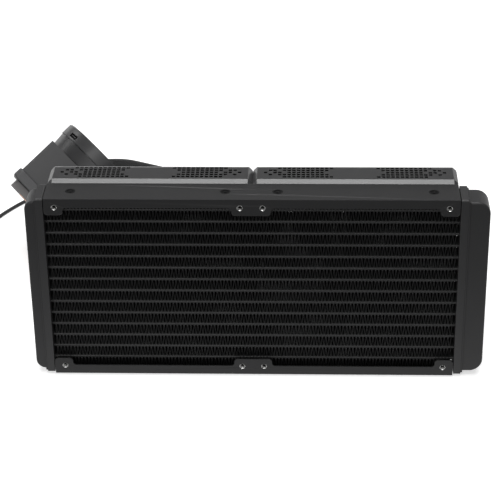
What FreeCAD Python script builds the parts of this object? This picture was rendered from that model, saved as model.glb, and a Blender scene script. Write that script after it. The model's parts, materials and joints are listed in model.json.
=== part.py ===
"""A closed-loop liquid cooler for a processor.

A flat radiator stands on its long side with two 140 mm fans screwed to its back. Two hoses run
from the larger end tank to the pump head, which leans on the table behind the fans.
X runs to the right, Y to the back and Z up. The origin is the centre of the screw holes in the
radiator's front face. All lengths are in millimetres and all angles in degrees.
"""
import FreeCAD, Part
import math
import os
import re
from types import SimpleNamespace

import Sketcher
from FreeCAD import Placement, Rotation, Vector

SIZES = {
    # Screw holes in the radiator's flanges
    "screw_pitch": 124.5,
    "screw_hole": 3.4,
    "thread_height": 2.2,
    "thread_wall": 0.9,
    "screw_shank": 1.65,
    "screw_head_radius": 3.6,
    "screw_head_height": 2.2,
    "cross_length": 2.6,
    "cross_width": 0.8,
    "cross_depth": 1.2,
    # Folded side plates, measured from the screw holes
    "plate_edge": 6.35,
    "plate_end": 7.1,
    "radiator_depth": 24.0,
    "plate_wall": 1.2,
    "flange_width": 6.5,
    "tab_reach": 5.8,
    "tab_side": 5.6,
    "tab_radius": 2.4,
    "plug_radius": 3.6,
    "plug_from_hole": 10.0,
    # Coolant tubes and folded fins
    "outer_row_height": 9.355,
    "tube_thickness": 1.9,
    "core_inset": 5.2,
    "tube_overhang": 1.4,
    "fin_thickness": 0.3,
    # End headers and tanks
    "header_gap": 0.6,
    "header_width": 5.0,
    "header_step": 0.3,
    "header_inset": 0.6,
    "header_wall": 1.8,
    "tank_step": 2.3,
    "tank_inset": 1.6,
    "tank_wall": 2.5,
    "left_tank_width": 7.9,
    "right_tank_width": 14.9,
    "left_tank_corner": 6.6,
    "right_tank_corner": 9.0,
    "tank_edge": 1.4,
    "rim_width": 1.2,
    "rim_proud": 0.7,
    # Hose ports on the right tank
    "port_upper": 12.0,
    "port_lower": -28.0,
    "port_flange_proud": 0.2,
    "port_flange_height": 3.0,
    "port_stem": 7.0,
    "port_wall": 2.0,
    # Fans
    "fan_screw_edge": 7.55,
    "fan_gap": 0.1,
    "fan_depth": 25.0,
    "bore_margin": 3.8,
    "fan_corner": 3.0,
    "front_corner": 0.4,
    "front_chamfer": 4.9,
    "front_chamfer_inset": 2.6,
    "back_chamfer": 0.9,
    "bore_round": 1.6,
    "fan_hole": 2.2,
    "strut_width": 3.6,
    "strut_height": 4.0,
    "motor_base_overhang": 0.5,
    "motor_base_low": 0.6,
    "motor_base_height": 2.8,
    "housing_radius": 4.4,
    "housing_play": 1.5,
    "bearing_wall": 0.95,
    "fan_shaft": 1.5,
    "shaft_clearance": 0.05,
    "hub_radius": 21.0,
    "hub_wall": 1.5,
    "hub_edge": 1.2,
    "hub_play": 1.0,
    "hub_sunk": 0.8,
    "hub_boss": 4.0,
    "hub_boss_length": 4.2,
    "tip_clearance": 1.2,
    "blade_clearance": 2.0,
    "blade_sunk": 2.0,
    "blade_thickness": 1.5,
    "magnet_wall": 1.9,
    "magnet_step": 1.4,
    "motor_gap": 0.9,
    "board_thickness": 1.2,
    "board_inset": 3.5,
    "stator_play": 2.0,
    "pole_width": 5.0,
    "pole_gap": 3.0,
    "pole_shoe": 1.6,
    "pad_side": 14.4,
    "pad_thickness": 1.0,
    "pad_edge": 2.4,
    # Pump head, measured from the underside of its box
    "box_side": 80.0,
    "box_height": 30.9,
    "box_round": 1.4,
    "ring_proud": 1.8,
    "ring_height": 7.9,
    "ring_band": 6.8,
    "ring_corner": 4.0,
    "ring_round": 1.4,
    "plinth_depth": 8.4,
    "slab_overhang": 2.5,
    "slab_height": 5.9,
    "slab_corner": 3.0,
    "collar_inset": 1.7,
    "collar_height": 11.2,
    "collar_flare": 1.0,
    "collar_wall": 1.8,
    "groove": 0.7,
    "cap_height": 9.5,
    "cap_proud": 0.6,
    "cap_rim": 2.1,
    "cap_chamfer": 1.0,
    "service_port_angle": 217.3,
    "service_port_length": 9.0,
    "service_port_height": 3.2,
    "service_port_depth": 1.6,
    "glass_thickness": 1.6,
    "glass_sunk": 0.5,
    "ledge_width": 3.2,
    "ledge_height": 2.0,
    "panel_inset": 4.2,
    "panel_thickness": 2.6,
    "control_board_thickness": 1.6,
    "control_board_fit": 0.3,
    "control_board_seat": 3.2,
    "dry_depth": 14.2,
    "can_flange_width": 14.0,
    "can_flange": 1.4,
    "can_seat_depth": 2.0,
    "can_radius": 9.8,
    "can_wall": 0.8,
    "can_headroom": 3.0,
    "wet_step": 6.8,
    "chamber_side": 38.0,
    "chamber_ceiling": -3.0,
    "jet_plate_thickness": 1.6,
    "jet_boss_radius": 3.0,
    "jet_boss_height": 3.5,
    "jet_slot_length": 20.0,
    "jet_slot_width": 2.0,
    "jet_slot_place": 8.0,
    "impeller_clearance": 2.5,
    "impeller_low": 1.5,
    "impeller_disc": 6.0,
    "impeller_disc_height": 2.0,
    "impeller_play": 0.8,
    "vane_radius": 9.0,
    "vane_thickness": 1.2,
    "vane_centre_x": 6.5,
    "vane_centre_y": 7.0,
    "pump_shaft": 1.5,
    "shaft_seat": 1.0,
    "shaft_seat_fit": 0.01,
    "rotor_magnet_gap": 0.6,
    "rotor_magnet_wall": 4.2,
    "pump_pole_width": 3.6,
    "pump_coil_width": 7.0,
    "pump_coil_inset": 2.6,
    "pump_yoke": 3.4,
    "plate_step": 5.0,
    "plate_lip": 3.2,
    "plate_proud": 0.3,
    "gasket_band": 4.0,
    "gasket_inset": 1.0,
    "gasket_thickness": 0.8,
    "micro_fin_margin": 4.0,
    "micro_fin_height": 3.0,
    "base_screw_inset": 3.5,
    "base_screw_head": 2.6,
    "base_screw_head_height": 1.5,
    "base_screw_shank": 1.2,
    "base_screw_grip": 5.0,
    "base_screw_fit": 0.1,
    "base_screw_sunk": 0.3,
    "seat_fit": 0.2,
    "close_fit": 0.05,
    # Swivel elbows, in their own frame with the stem along +Z
    "elbow_x": 18.0,
    "elbow_z": 21.5,
    "elbow_turn": 34.0,
    "elbow_stem": 5.2,
    "elbow_socket": 8.0,
    "elbow_seal": 0.8,
    "elbow_seal_inset": 0.6,
    "elbow_shoulder": 8.0,
    "elbow_shoulder_height": 4.0,
    "elbow_rise": 6.0,
    "elbow_radius": 6.4,
    "elbow_bend": 9.0,
    "elbow_outlet": 8.0,
    # Hoses, crimp sleeves and pump cable
    "hose_radius": 6.0,
    "sleeve_wall": 1.25,
    "sleeve_length": 18.0,
    "sleeve_lap": 5.0,
    "cable_radius": 1.5,
    "grommet_x": 2.0,
    "grommet_z": 4.5,
    "grommet_foot": 3.4,
    "grommet_collar": 1.2,
    "grommet_tip": 2.1,
    "grommet_root": 4.3,
    "grommet_length": 9.0,
    "coil_radius": 16.5,
    "coil_width": 6.0,
    "coil_height": 6.0,
    "connector_length": 12.0,
    "connector_width": 8.0,
    "connector_height": 4.4,
    # Where the pump head stands and how it is turned
    "head_x": -154.7,
    "head_y": 158.8,
    "head_yaw": -18.3,
    "head_pitch": 43.97,
    "head_roll": -38.88,
}

# Sizes and places that follow from the ones above
WORKED_OUT = {
    "hole_height": "screw_pitch / 2",
    "inner_hole": "fan_gap / 2 + fan_screw_edge",
    "outer_hole": "inner_hole + screw_pitch",
    "fan_size": "screw_pitch + 2 * fan_screw_edge",
    "fan_centre": "(fan_size + fan_gap) / 2",
    "plate_half": "hole_height + plate_edge",
    "plate_length": "2 * (outer_hole + plate_end)",
    "core_half": "plate_half - plate_wall",
    "tube_span": "2 * (core_half - outer_row_height)",
    "header_start": "plate_length / 2 + header_gap",
    "header_half": "plate_half - header_step",
    "tank_start": "header_start + header_width",
    "tank_half": "header_half - tank_step",
    "port_x": "tank_start + right_tank_width / 2",
    "port_back": "radiator_depth - tank_inset",
    "port_end": "port_flange_height + port_stem",
    "fan_bore": "fan_size / 2 - bore_margin",
    "motor_base_radius": "hub_radius + motor_base_overhang",
    "base_top": "motor_base_low + motor_base_height",
    "board_top": "base_top + board_thickness",
    "hub_low": "board_top + hub_play",
    "hub_top": "fan_depth - hub_sunk",
    "boss_low": "hub_top - hub_wall - hub_boss_length",
    "housing_top": "boss_low - housing_play",
    "blade_tip": "fan_bore - tip_clearance",
    "blade_low": "motor_base_low + strut_height + blade_clearance",
    "blade_high": "fan_depth - blade_sunk",
    "magnet_low": "hub_low + magnet_step",
    "magnet_outer": "hub_radius - hub_wall",
    "magnet_inner": "magnet_outer - magnet_wall",
    "stator_outer": "magnet_inner - motor_gap",
    "stator_low": "board_top + stator_play",
    "stator_high": "housing_top - magnet_step",
    "ring_side": "box_side + 2 * ring_proud",
    "plinth_side": "ring_side - 2 * ring_band",
    "slab_side": "plinth_side + 2 * slab_overhang",
    "slab_low": "-(plinth_depth + slab_height)",
    "cold_face": "slab_low - plate_proud",
    "plate_top": "cold_face + plate_lip",
    "block_top": "-(plinth_depth + gasket_thickness)",
    "block_side": "chamber_side + 2 * gasket_band",
    "plate_side": "block_side + 2 * plate_step",
    "micro_fin_side": "chamber_side - 2 * micro_fin_margin",
    "base_screw_place": "plinth_side / 2 - base_screw_inset",
    "base_screw_length": "slab_height - base_screw_sunk + base_screw_grip",
    "collar_foot": "box_side / 2 - collar_inset",
    "collar_top": "collar_foot + collar_flare",
    "collar_bore": "collar_foot - collar_wall",
    "seam": "box_height + collar_height",
    "cap_top": "seam + cap_height",
    "cap_radius": "collar_top + cap_proud",
    "glass_radius": "cap_radius - cap_rim",
    "glass_low": "cap_top - glass_sunk - glass_thickness",
    "dry_radius": "collar_bore - control_board_seat",
    "dry_floor": "box_height - dry_depth",
    "can_seat": "dry_floor - can_seat_depth",
    "can_flange_radius": "can_radius + can_flange_width",
    "can_top": "box_height - can_headroom",
    "can_roof": "can_top - can_wall",
    "wet_radius": "can_flange_radius - wet_step",
    "impeller_radius": "wet_radius - impeller_clearance",
    "impeller_stem_top": "can_roof - shaft_seat - impeller_play",
    "rotor_magnet_radius": "can_radius - can_wall - rotor_magnet_gap",
    "impeller_stem": "rotor_magnet_radius - rotor_magnet_wall",
    "sleeve_radius": "hose_radius + close_fit + sleeve_wall",
}

# Numbers of copies
TUBES = 14
FOLDS = 24
BLADES = 9
STRUTS = 7
FAN_POLES = 4
PUMP_POLES = 6
VANES = 6
MICRO_FINS = 15

# Pitch in degrees, arch height and sweep of a fan blade at its root, its middle and its tip
BLADE_SECTIONS = [(48, 1.6, 0), (33, 2.6, -3), (24, 3.2, 5)]
# Where the base screws stand, in steps of their distance from the middle
SCREW_SIDES = [(1, 1), (-1, 1), (1, -1), (-1, -1), (1, 0), (-1, 0), (0, 1), (0, -1)]
# Parts on the control board: low corner, length, width and height
BOARD_PARTS = [(-8, -8, 16, 16, 1.4), (14, -6, 8, 8, 1.2), (-24, 4, 9, 6, 2.4), (-6, 16, 12, 7, 2.0),
               (6, -24, 7, 7, 3.0)]

# Points of the three free routes after their first two, which follow from the fittings
UPPER_HOSE_ROUTE = [(-88, 232, -24.8), (-38, 229, -35.5), (12, 220, -38.5), (62, 198, -33), (105, 164, -21),
                    (138, 126, -4)]
LOWER_HOSE_ROUTE = [(-60, 220.5, -47.8), (-13, 214, -59.5), (37, 204, -62), (81, 183, -59), (117, 150, -51),
                    (140, 114, -38)]
CABLE_ROUTE = [(-166, 241, -61.5), (-170, 262, -66.9), (-184, 275, -68.3), (-196, 270.8, -68.3),
               (-218.6, 235.3, -68.3), (-220.5, 220, -68.3)]
PORT_RUN = 46.0
HEAD_RUN = 28.0
CABLE_RUN = 16.0
COIL_PLACE = (-237.0, 214.0)

doc = FreeCAD.newDocument("liquid_cooler")
sheet = doc.addObject("Spreadsheet::Sheet", "Sizes")
for row, (alias, number) in enumerate(SIZES.items(), 1):
    sheet.set(f"A{row}", alias)
    sheet.set(f"B{row}", str(number))
    sheet.setAlias(f"B{row}", alias)
doc.recompute()
S = SimpleNamespace(**{alias: float(sheet.get(alias)) for alias in SIZES})


def bound(text):
    """The expression with the name of the sheet, or of the worked out sizes, before each size in it."""
    def lead(word):
        name = word.group()
        if name in SIZES:
            return "Sizes." + name
        return "Worked." + name if name in WORKED_OUT else name
    return re.sub(r"[a-z][a-z_0-9]*", lead, text)


worked = doc.addObject("App::VarSet", "Worked")
for name, formula in WORKED_OUT.items():
    worked.addProperty("App::PropertyFloat", name)
    worked.setExpression(name, bound(formula))
doc.recompute()
for name in WORKED_OUT:
    setattr(S, name, getattr(worked, name))

nodes = {}


def keep(label, item, placement=None):
    """Name a finished piece after its file and put it in place."""
    item.Label = label
    if placement is not None:
        item.Placement = placement
    nodes[label] = item
    return item


def body(name):
    return doc.addObject("PartDesign::Body", name + "_body")


def sketch(owner, role, offset="0"):
    """An empty sketch on one of the body's own planes, moved along its normal."""
    drawing = owner.newObject("Sketcher::SketchObject", "Sketch")
    plane = next(item for item in owner.Origin.OriginFeatures if item.Role == role)
    drawing.AttachmentSupport = (plane, [""])
    drawing.MapMode = "FlatFace"
    drawing.setExpression("AttachmentOffset.Base.z", bound(offset))
    return drawing


def place_point(drawing, curve, point, x, y):
    for kind, text in (("DistanceX", x), ("DistanceY", y)):
        index = drawing.addConstraint(Sketcher.Constraint(kind, -1, 1, curve, point, 1.0))
        drawing.setExpression(f"Constraints[{index}]", bound(text))


def polygon(drawing, corners):
    """A closed outline whose corners are bound to the sheet."""
    count = len(corners)
    first = drawing.GeometryCount
    start = [Vector(math.cos(math.tau * k / count), math.sin(math.tau * k / count), 0) for k in range(count)]
    for k in range(count):
        drawing.addGeometry(Part.LineSegment(start[k], start[(k + 1) % count]), False)
    for k in range(count):
        drawing.addConstraint(Sketcher.Constraint("Coincident", first + k, 2, first + (k + 1) % count, 1))
    for k, (x, y) in enumerate(corners):
        place_point(drawing, first + k, 1, x, y)


def rectangle(drawing, low, high):
    polygon(drawing, [(low[0], low[1]), (high[0], low[1]), (high[0], high[1]), (low[0], high[1])])


def square(drawing, side):
    rectangle(drawing, (f"-{side} / 2", f"-{side} / 2"), (f"{side} / 2", f"{side} / 2"))


def circle(drawing, x, y, radius):
    curve = drawing.addGeometry(Part.Circle(Vector(0, 0, 0), Vector(0, 0, 1), 1.0), False)
    place_point(drawing, curve, 3, x, y)
    index = drawing.addConstraint(Sketcher.Constraint("Radius", curve, 1.0))
    drawing.setExpression(f"Constraints[{index}]", bound(radius))


def pad(owner, drawing, length, both_ways=False):
    feature = owner.newObject("PartDesign::Pad", "Pad")
    feature.Profile = drawing
    feature.setExpression("Length", bound(length))
    if both_ways:
        feature.SideType = "Symmetric"
    doc.recompute()
    return feature


def pocket(owner, drawing, length=None, upward=False):
    """Cut along the sketch's normal or against it; right through both ways with no length."""
    feature = owner.newObject("PartDesign::Pocket", "Pocket")
    feature.Profile = drawing
    if length is None:
        feature.Type = "ThroughAll"
        feature.SideType = "Symmetric"
    else:
        feature.setExpression("Length", bound(length))
        feature.Reversed = upward
    doc.recompute()
    return feature


def turn(owner, drawing, cut=False):
    """Revolve an outline, drawn in the XZ plane, about the Z axis."""
    feature = owner.newObject("PartDesign::Groove" if cut else "PartDesign::Revolution", "Turned")
    feature.Profile = drawing
    feature.ReferenceAxis = (drawing, ["V_Axis"])
    feature.Angle = 360.0
    doc.recompute()
    return feature


def copies_round(owner, original, axis_sketch, count):
    pattern = owner.newObject("PartDesign::PolarPattern", "Copies")
    pattern.Originals = [original]
    pattern.Axis = (axis_sketch, ["N_Axis"])
    pattern.Angle = 360.0
    pattern.Occurrences = count
    owner.Tip = pattern
    doc.recompute()
    return pattern


def dress(owner, kind, size_property, size, wanted):
    """Fillet or chamfer the edges of the body that the test picks out."""
    tip = owner.Tip
    names = [f"Edge{k}" for k, edge in enumerate(tip.Shape.Edges, 1) if wanted(edge)]
    feature = owner.newObject("PartDesign::" + kind, kind)
    feature.Base = (tip, names)
    feature.setExpression(size_property, bound(size))
    doc.recompute()
    return feature


def near(value, wanted):
    return abs(value - wanted) < 1e-4


def runs_along(edge, axis):
    """True for a straight edge parallel to the axis numbered 0, 1 or 2."""
    if edge.Curve.TypeId != "Part::GeomLine":
        return False
    return near(abs(edge.Curve.Direction[axis]), 1.0)


def turned(label, outline, placement=None):
    """One turned piece from the corners of half its section, each a radius and a height."""
    owner = body(label)
    drawing = sketch(owner, "XZ_Plane")
    polygon(drawing, outline)
    turn(owner, drawing)
    return keep(label, owner, placement)


def ring(label, inner, outer, low, high, placement=None):
    return turned(label, [(inner, low), (outer, low), (outer, high), (inner, high)], placement)


def disc(label, radius, low, high, placement=None):
    return ring(label, "0", radius, low, high, placement)


def group(label, solids, placement=None):
    """Several like solids kept in one piece."""
    feature = doc.addObject("Part::Feature", label + "_group")
    feature.Shape = Part.makeCompound(solids)
    return keep(label, feature, placement)


def single(label, solid, placement=None):
    feature = doc.addObject("Part::Feature", label + "_solid")
    feature.Shape = solid
    return keep(label, feature, placement)


# Radiator


def side_plate(label, placement, plugged):
    """A folded channel with screw tabs on both flanges; the upper one also carries four plugs."""
    owner = body(label)
    tab_edge = "hole_height - tab_reach"
    channel = sketch(owner, "YZ_Plane")
    polygon(channel, [("0", tab_edge), ("0", "plate_half"), ("radiator_depth", "plate_half"),
                      ("radiator_depth", tab_edge), ("radiator_depth - plate_wall", tab_edge),
                      ("radiator_depth - plate_wall", "core_half"), ("plate_wall", "core_half"),
                      ("plate_wall", tab_edge)])
    pad(owner, channel, "plate_length", both_ways=True)
    notch = sketch(owner, "XZ_Plane")
    for side in ("", "-"):
        inner = f"{side}(inner_hole + tab_side)"
        outer = f"{side}(outer_hole - tab_side)"
        rectangle(notch, (inner, f"{tab_edge} - 1"), (outer, "plate_half - flange_width"))
    pocket(owner, notch)
    flange_low = S.plate_half - S.flange_width
    dress(owner, "Fillet", "Radius", "tab_radius",
          lambda edge: runs_along(edge, 1) and edge.BoundBox.ZMax < flange_low + 1e-3)
    for offset in ("-(plate_wall + thread_height)", "-(radiator_depth - plate_wall)"):
        thread = sketch(owner, "XZ_Plane", offset)
        for x in ("-outer_hole", "-inner_hole", "inner_hole", "outer_hole"):
            circle(thread, x, "hole_height", "screw_hole / 2 + thread_wall")
        pad(owner, thread, "thread_height")
    holes = sketch(owner, "XZ_Plane")
    for x in ("-outer_hole", "-inner_hole", "inner_hole", "outer_hole"):
        circle(holes, x, "hole_height", "screw_hole / 2")
    pocket(owner, holes)
    if plugged:
        seats = sketch(owner, "XY_Plane")
        for side in ("-", ""):
            for x in ("(outer_hole - plug_from_hole)", "(inner_hole + plug_from_hole)"):
                circle(seats, side + x, "radiator_depth / 2", "plug_radius + close_fit")
        pocket(owner, seats)
    return keep(label, owner, placement)


def plate_plugs():
    """Round press-in plugs, flush with the upper plate, each with a ring groove."""
    groove_depth = S.plate_wall / 3
    solids = []
    for side in (-1, 1):
        for place in (S.outer_hole - S.plug_from_hole, S.inner_hole + S.plug_from_hole):
            centre = Vector(side * place, S.radiator_depth / 2, S.core_half)
            floor = centre + Vector(0, 0, S.plate_wall - groove_depth)
            plug = Part.makeCylinder(S.plug_radius, S.plate_wall, centre)
            groove = Part.makeCylinder(S.plug_radius * 0.72, groove_depth, floor)
            post = Part.makeCylinder(S.plug_radius * 0.3, groove_depth, floor)
            solids.append(plug.cut(groove.cut(post)))
    group("plate_plugs", solids)


def tube_heights():
    step = S.tube_span / (TUBES - 1)
    return [k * step - S.tube_span / 2 for k in range(TUBES)]


def coolant_tubes():
    """Flat tubes with round edges, from inside one header to inside the other."""
    half = S.tube_thickness / 2
    reach = S.header_start + S.header_wall + S.tube_overhang
    near_y = S.core_inset + half
    far_y = S.radiator_depth - S.core_inset - half
    solids = []
    for height in tube_heights():
        corners = [Vector(-reach, near_y, height - half), Vector(-reach, far_y, height - half),
                   Vector(-reach, far_y, height + half), Vector(-reach, near_y, height + half)]
        far_round = Part.Arc(corners[1], Vector(-reach, far_y + half, height), corners[2])
        near_round = Part.Arc(corners[3], Vector(-reach, near_y - half, height), corners[0])
        edges = [Part.makeLine(corners[0], corners[1]), far_round.toShape(),
                 Part.makeLine(corners[2], corners[3]), near_round.toShape()]
        solids.append(Part.Face(Part.Wire(edges)).extrude(Vector(2 * reach, 0, 0)))
    group("coolant_tubes", solids)


def fin_strips():
    """Folded fins: one zigzag strip in each of the rows between the tubes and the side plates."""
    heights = tube_heights()
    half = S.tube_thickness / 2
    lows = [-S.core_half] + [height + half for height in heights]
    highs = [height - half for height in heights] + [S.core_half]
    length = S.plate_length - 2 * S.core_inset
    step = length / (2 * FOLDS)
    solids = []
    for low, high in zip(lows, highs):
        lower_side = []
        upper_side = []
        for k in range(2 * FOLDS + 1):
            x = -length / 2 + k * step
            crest = k % 2 == 1
            lower_side.append(Vector(x, S.core_inset, high - S.fin_thickness if crest else low))
            upper_side.append(Vector(x, S.core_inset, high if crest else low + S.fin_thickness))
        outline = Part.makePolygon(lower_side + upper_side[::-1] + lower_side[:1])
        solids.append(Part.Face(outline).extrude(Vector(0, S.radiator_depth - 2 * S.core_inset, 0)))
    group("fin_strips", solids)


def header(label, placement):
    """An open tray at the tubes' ends, slotted for them."""
    owner = body(label)
    outside = sketch(owner, "YZ_Plane", "header_start")
    rectangle(outside, ("header_inset", "-header_half"), ("radiator_depth - header_inset", "header_half"))
    pad(owner, outside, "header_width")
    dress(owner, "Fillet", "Radius", "tank_edge", lambda edge: runs_along(edge, 0))
    inside = sketch(owner, "YZ_Plane", "tank_start")
    rectangle(inside, ("tank_inset + tank_wall", "-(tank_half - tank_wall)"),
              ("radiator_depth - tank_inset - tank_wall", "tank_half - tank_wall"))
    pocket(owner, inside, "header_width - header_wall")
    slotted = doc.addObject("Part::Cut", label + "_slotted")
    slotted.Base = owner
    slotted.Tool = nodes["coolant_tubes"]
    return keep(label, slotted, placement)


def tank(side, placement, ports):
    """An end tank, open towards its header, with a thin rim where the two are joined."""
    width = side + "_tank_width"
    corner = side + "_tank_corner"
    owner = body(side + "_tank")
    outside = sketch(owner, "YZ_Plane", "tank_start")
    rectangle(outside, ("tank_inset", "-tank_half"), ("radiator_depth - tank_inset", "tank_half"))
    pad(owner, outside, width)
    far_x = S.tank_start + getattr(S, width)
    faces = (S.tank_inset, S.radiator_depth - S.tank_inset)
    rim = sketch(owner, "YZ_Plane", "tank_start")
    rectangle(rim, ("tank_inset - rim_proud", "-(tank_half + rim_proud)"),
              ("radiator_depth - tank_inset + rim_proud", "tank_half + rim_proud"))
    pad(owner, rim, "rim_width")
    inside = sketch(owner, "YZ_Plane", "tank_start")
    rectangle(inside, ("tank_inset + tank_wall", "-(tank_half - tank_wall)"),
              ("radiator_depth - tank_inset - tank_wall", "tank_half - tank_wall"))
    pocket(owner, inside, f"{width} - tank_wall", upward=True)
    dress(owner, "Fillet", "Radius", f"{corner} - tank_wall",
          lambda edge: runs_along(edge, 1) and near(edge.BoundBox.XMin, far_x - S.tank_wall))
    dress(owner, "Fillet", "Radius", corner,
          lambda edge: runs_along(edge, 1) and near(edge.BoundBox.XMin, far_x))
    dress(owner, "Fillet", "Radius", "tank_edge",
          lambda edge: edge.BoundBox.XMax > far_x - getattr(S, corner) - 1e-3
          and any(near(edge.BoundBox.YMin, face) and near(edge.BoundBox.YMax, face) for face in faces))
    if ports:
        mouths = sketch(owner, "XZ_Plane", "-port_back")
        for height in ("port_upper", "port_lower"):
            circle(mouths, "port_x", height, "hose_radius - port_wall")
        pocket(owner, mouths, "tank_wall", upward=True)
    return keep(side + "_tank", owner, placement)


def port_place(height):
    """A frame whose +Z points out of the right tank's back at one of the two ports."""
    return Placement(Vector(S.port_x, S.port_back, height), Rotation(Vector(1, 0, 0), -90))


def hose_ports():
    solids = []
    for height in (S.port_upper, S.port_lower):
        port = Part.makeCylinder(S.hose_radius + S.port_flange_proud, S.port_flange_height)
        stem = Part.makeCylinder(S.hose_radius, S.port_end)
        bore = Part.makeCylinder(S.hose_radius - S.port_wall, S.port_end)
        port = port.fuse(stem).removeSplitter().cut(bore)
        port.Placement = port_place(height)
        solids.append(port)
    group("hose_ports", solids)


def radiator():
    flipped = Placement(Vector(), Rotation(Vector(0, 1, 0), 180))
    side_plate("radiator_top_plate", Placement(), True)
    side_plate("radiator_bottom_plate", flipped, False)
    plate_plugs()
    coolant_tubes()
    fin_strips()
    header("right_header", Placement())
    header("left_header", flipped)
    tank("right", Placement(), True)
    tank("left", flipped, False)
    hose_ports()


# Fans, each in its own frame: Z runs from the radiator's back flange towards the open side


def octagon(inset, corner):
    """The fan's square outline moved in by the inset, with its corners cut off at 45 degrees."""
    half = f"(fan_size / 2 - {inset})"
    cut = f"({half} - {corner})"
    return [(cut, f"-{half}"), (half, f"-{cut}"), (half, cut), (cut, half),
            (f"-{cut}", half), (f"-{half}", cut), (f"-{half}", f"-{cut}"), (f"-{cut}", f"-{half}")]


def fan_frame(label, placement):
    owner = body(label)
    narrow = sketch(owner, "XY_Plane")
    polygon(narrow, octagon("front_chamfer_inset", "front_corner"))
    wide = sketch(owner, "XY_Plane", "front_chamfer")
    polygon(wide, octagon("0", "fan_corner"))
    chamfered = owner.newObject("PartDesign::AdditiveLoft", "Chamfered")
    chamfered.Profile = narrow
    chamfered.Sections = [wide]
    chamfered.Ruled = True
    doc.recompute()
    sides = sketch(owner, "XY_Plane", "front_chamfer")
    polygon(sides, octagon("0", "fan_corner"))
    pad(owner, sides, "fan_depth - front_chamfer")
    dress(owner, "Chamfer", "Size", "back_chamfer", lambda edge: near(edge.BoundBox.ZMin, S.fan_depth))
    duct = sketch(owner, "XY_Plane")
    circle(duct, "0", "0", "fan_bore")
    pocket(owner, duct)
    dress(owner, "Fillet", "Radius", "bore_round",
          lambda edge: near(edge.BoundBox.ZMin, S.fan_depth) and edge.Curve.TypeId == "Part::GeomCircle")
    base = sketch(owner, "XY_Plane", "motor_base_low")
    circle(base, "0", "0", "motor_base_radius")
    pad(owner, base, "motor_base_height")
    strut = sketch(owner, "XY_Plane", "motor_base_low")
    rectangle(strut, ("motor_base_radius - board_inset / 2", "-strut_width / 2"),
              ("fan_bore + bore_margin / 4", "strut_width / 2"))
    one_strut = pad(owner, strut, "strut_height")
    copies_round(owner, one_strut, strut, STRUTS)
    housing = sketch(owner, "XY_Plane", "motor_base_low")
    circle(housing, "0", "0", "housing_radius")
    pad(owner, housing, "housing_top - motor_base_low")
    bearing_seat = sketch(owner, "XY_Plane", "housing_top")
    circle(bearing_seat, "0", "0", "housing_radius - bearing_wall")
    pocket(owner, bearing_seat, "housing_top - base_top")
    holes = sketch(owner, "XY_Plane")
    for x in ("-hole_height", "hole_height"):
        for y in ("-hole_height", "hole_height"):
            circle(holes, x, y, "fan_hole")
    pocket(owner, holes)
    seats = sketch(owner, "XY_Plane", "fan_depth")
    outer = "(fan_size / 2 - pad_edge)"
    inner = f"({outer} - pad_side)"
    for side_x in ("", "-"):
        for side_y in ("", "-"):
            rectangle(seats, (side_x + inner, side_y + inner), (side_x + outer, side_y + outer))
    pocket(owner, seats, "pad_thickness")
    return keep(label, owner, placement)


def fan_pads(label, placement):
    """Rubber corner pads let into the open side, each with its screw hole."""
    outer = S.fan_size / 2 - S.pad_edge
    middle = outer - S.pad_side / 2
    size = S.pad_side - 2 * S.close_fit
    low = S.fan_depth - S.pad_thickness
    solids = []
    for side_x in (-1, 1):
        for side_y in (-1, 1):
            corner = Vector(side_x * middle - size / 2, side_y * middle - size / 2, low)
            piece = Part.makeBox(size, size, S.pad_thickness, corner)
            place = Vector(side_x * S.hole_height, side_y * S.hole_height, 0)
            solids.append(piece.cut(Part.makeCylinder(S.fan_hole, S.fan_depth, place)))
    group(label, solids, placement)


def cross_recess(floor):
    """The two crossed slots of a screw head, standing on their floor's middle."""
    slots = []
    for length, width in ((S.cross_length, S.cross_width), (S.cross_width, S.cross_length)):
        slots.append(Part.makeBox(length, width, S.cross_depth, floor - Vector(length / 2, width / 2, 0)))
    return slots[0].fuse(slots[1])


def fan_screws(label, placement):
    """Long screws from the fan's open side into the radiator's back flange."""
    tip = -(S.plate_wall + S.thread_height)
    solids = []
    for x in (-S.hole_height, S.hole_height):
        for y in (-S.hole_height, S.hole_height):
            shank = Part.makeCylinder(S.screw_shank, S.fan_depth - tip, Vector(x, y, tip))
            head = Part.makeCylinder(S.screw_head_radius, S.screw_head_height, Vector(x, y, S.fan_depth))
            recess = cross_recess(Vector(x, y, S.fan_depth + S.screw_head_height - S.cross_depth))
            solids.append(shank.fuse(head).removeSplitter().cut(recess))
    group(label, solids, placement)


def blade_section(radius, chord, pitch, camber, sweep):
    """A thin arched section in the plane at the given radius, moved round by the sweep, as a closed wire."""
    slope = math.radians(pitch)
    middle = (S.blade_low + S.blade_high) / 2
    half = chord / 2
    thin = S.blade_thickness / 2

    def point(along, across):
        return Vector(radius, sweep + along * math.cos(slope) - across * math.sin(slope),
                      middle + along * math.sin(slope) + across * math.cos(slope))
    lower = Part.Arc(point(-half, -thin * 0.6), point(0, camber - thin), point(half, -thin * 0.6)).toShape()
    upper = Part.Arc(point(half, thin * 0.6), point(0, camber + thin), point(-half, thin * 0.6)).toShape()
    nose = Part.makeLine(point(half, -thin * 0.6), point(half, thin * 0.6))
    tail = Part.makeLine(point(-half, thin * 0.6), point(-half, -thin * 0.6))
    return Part.Wire([lower, nose, upper, tail])


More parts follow.
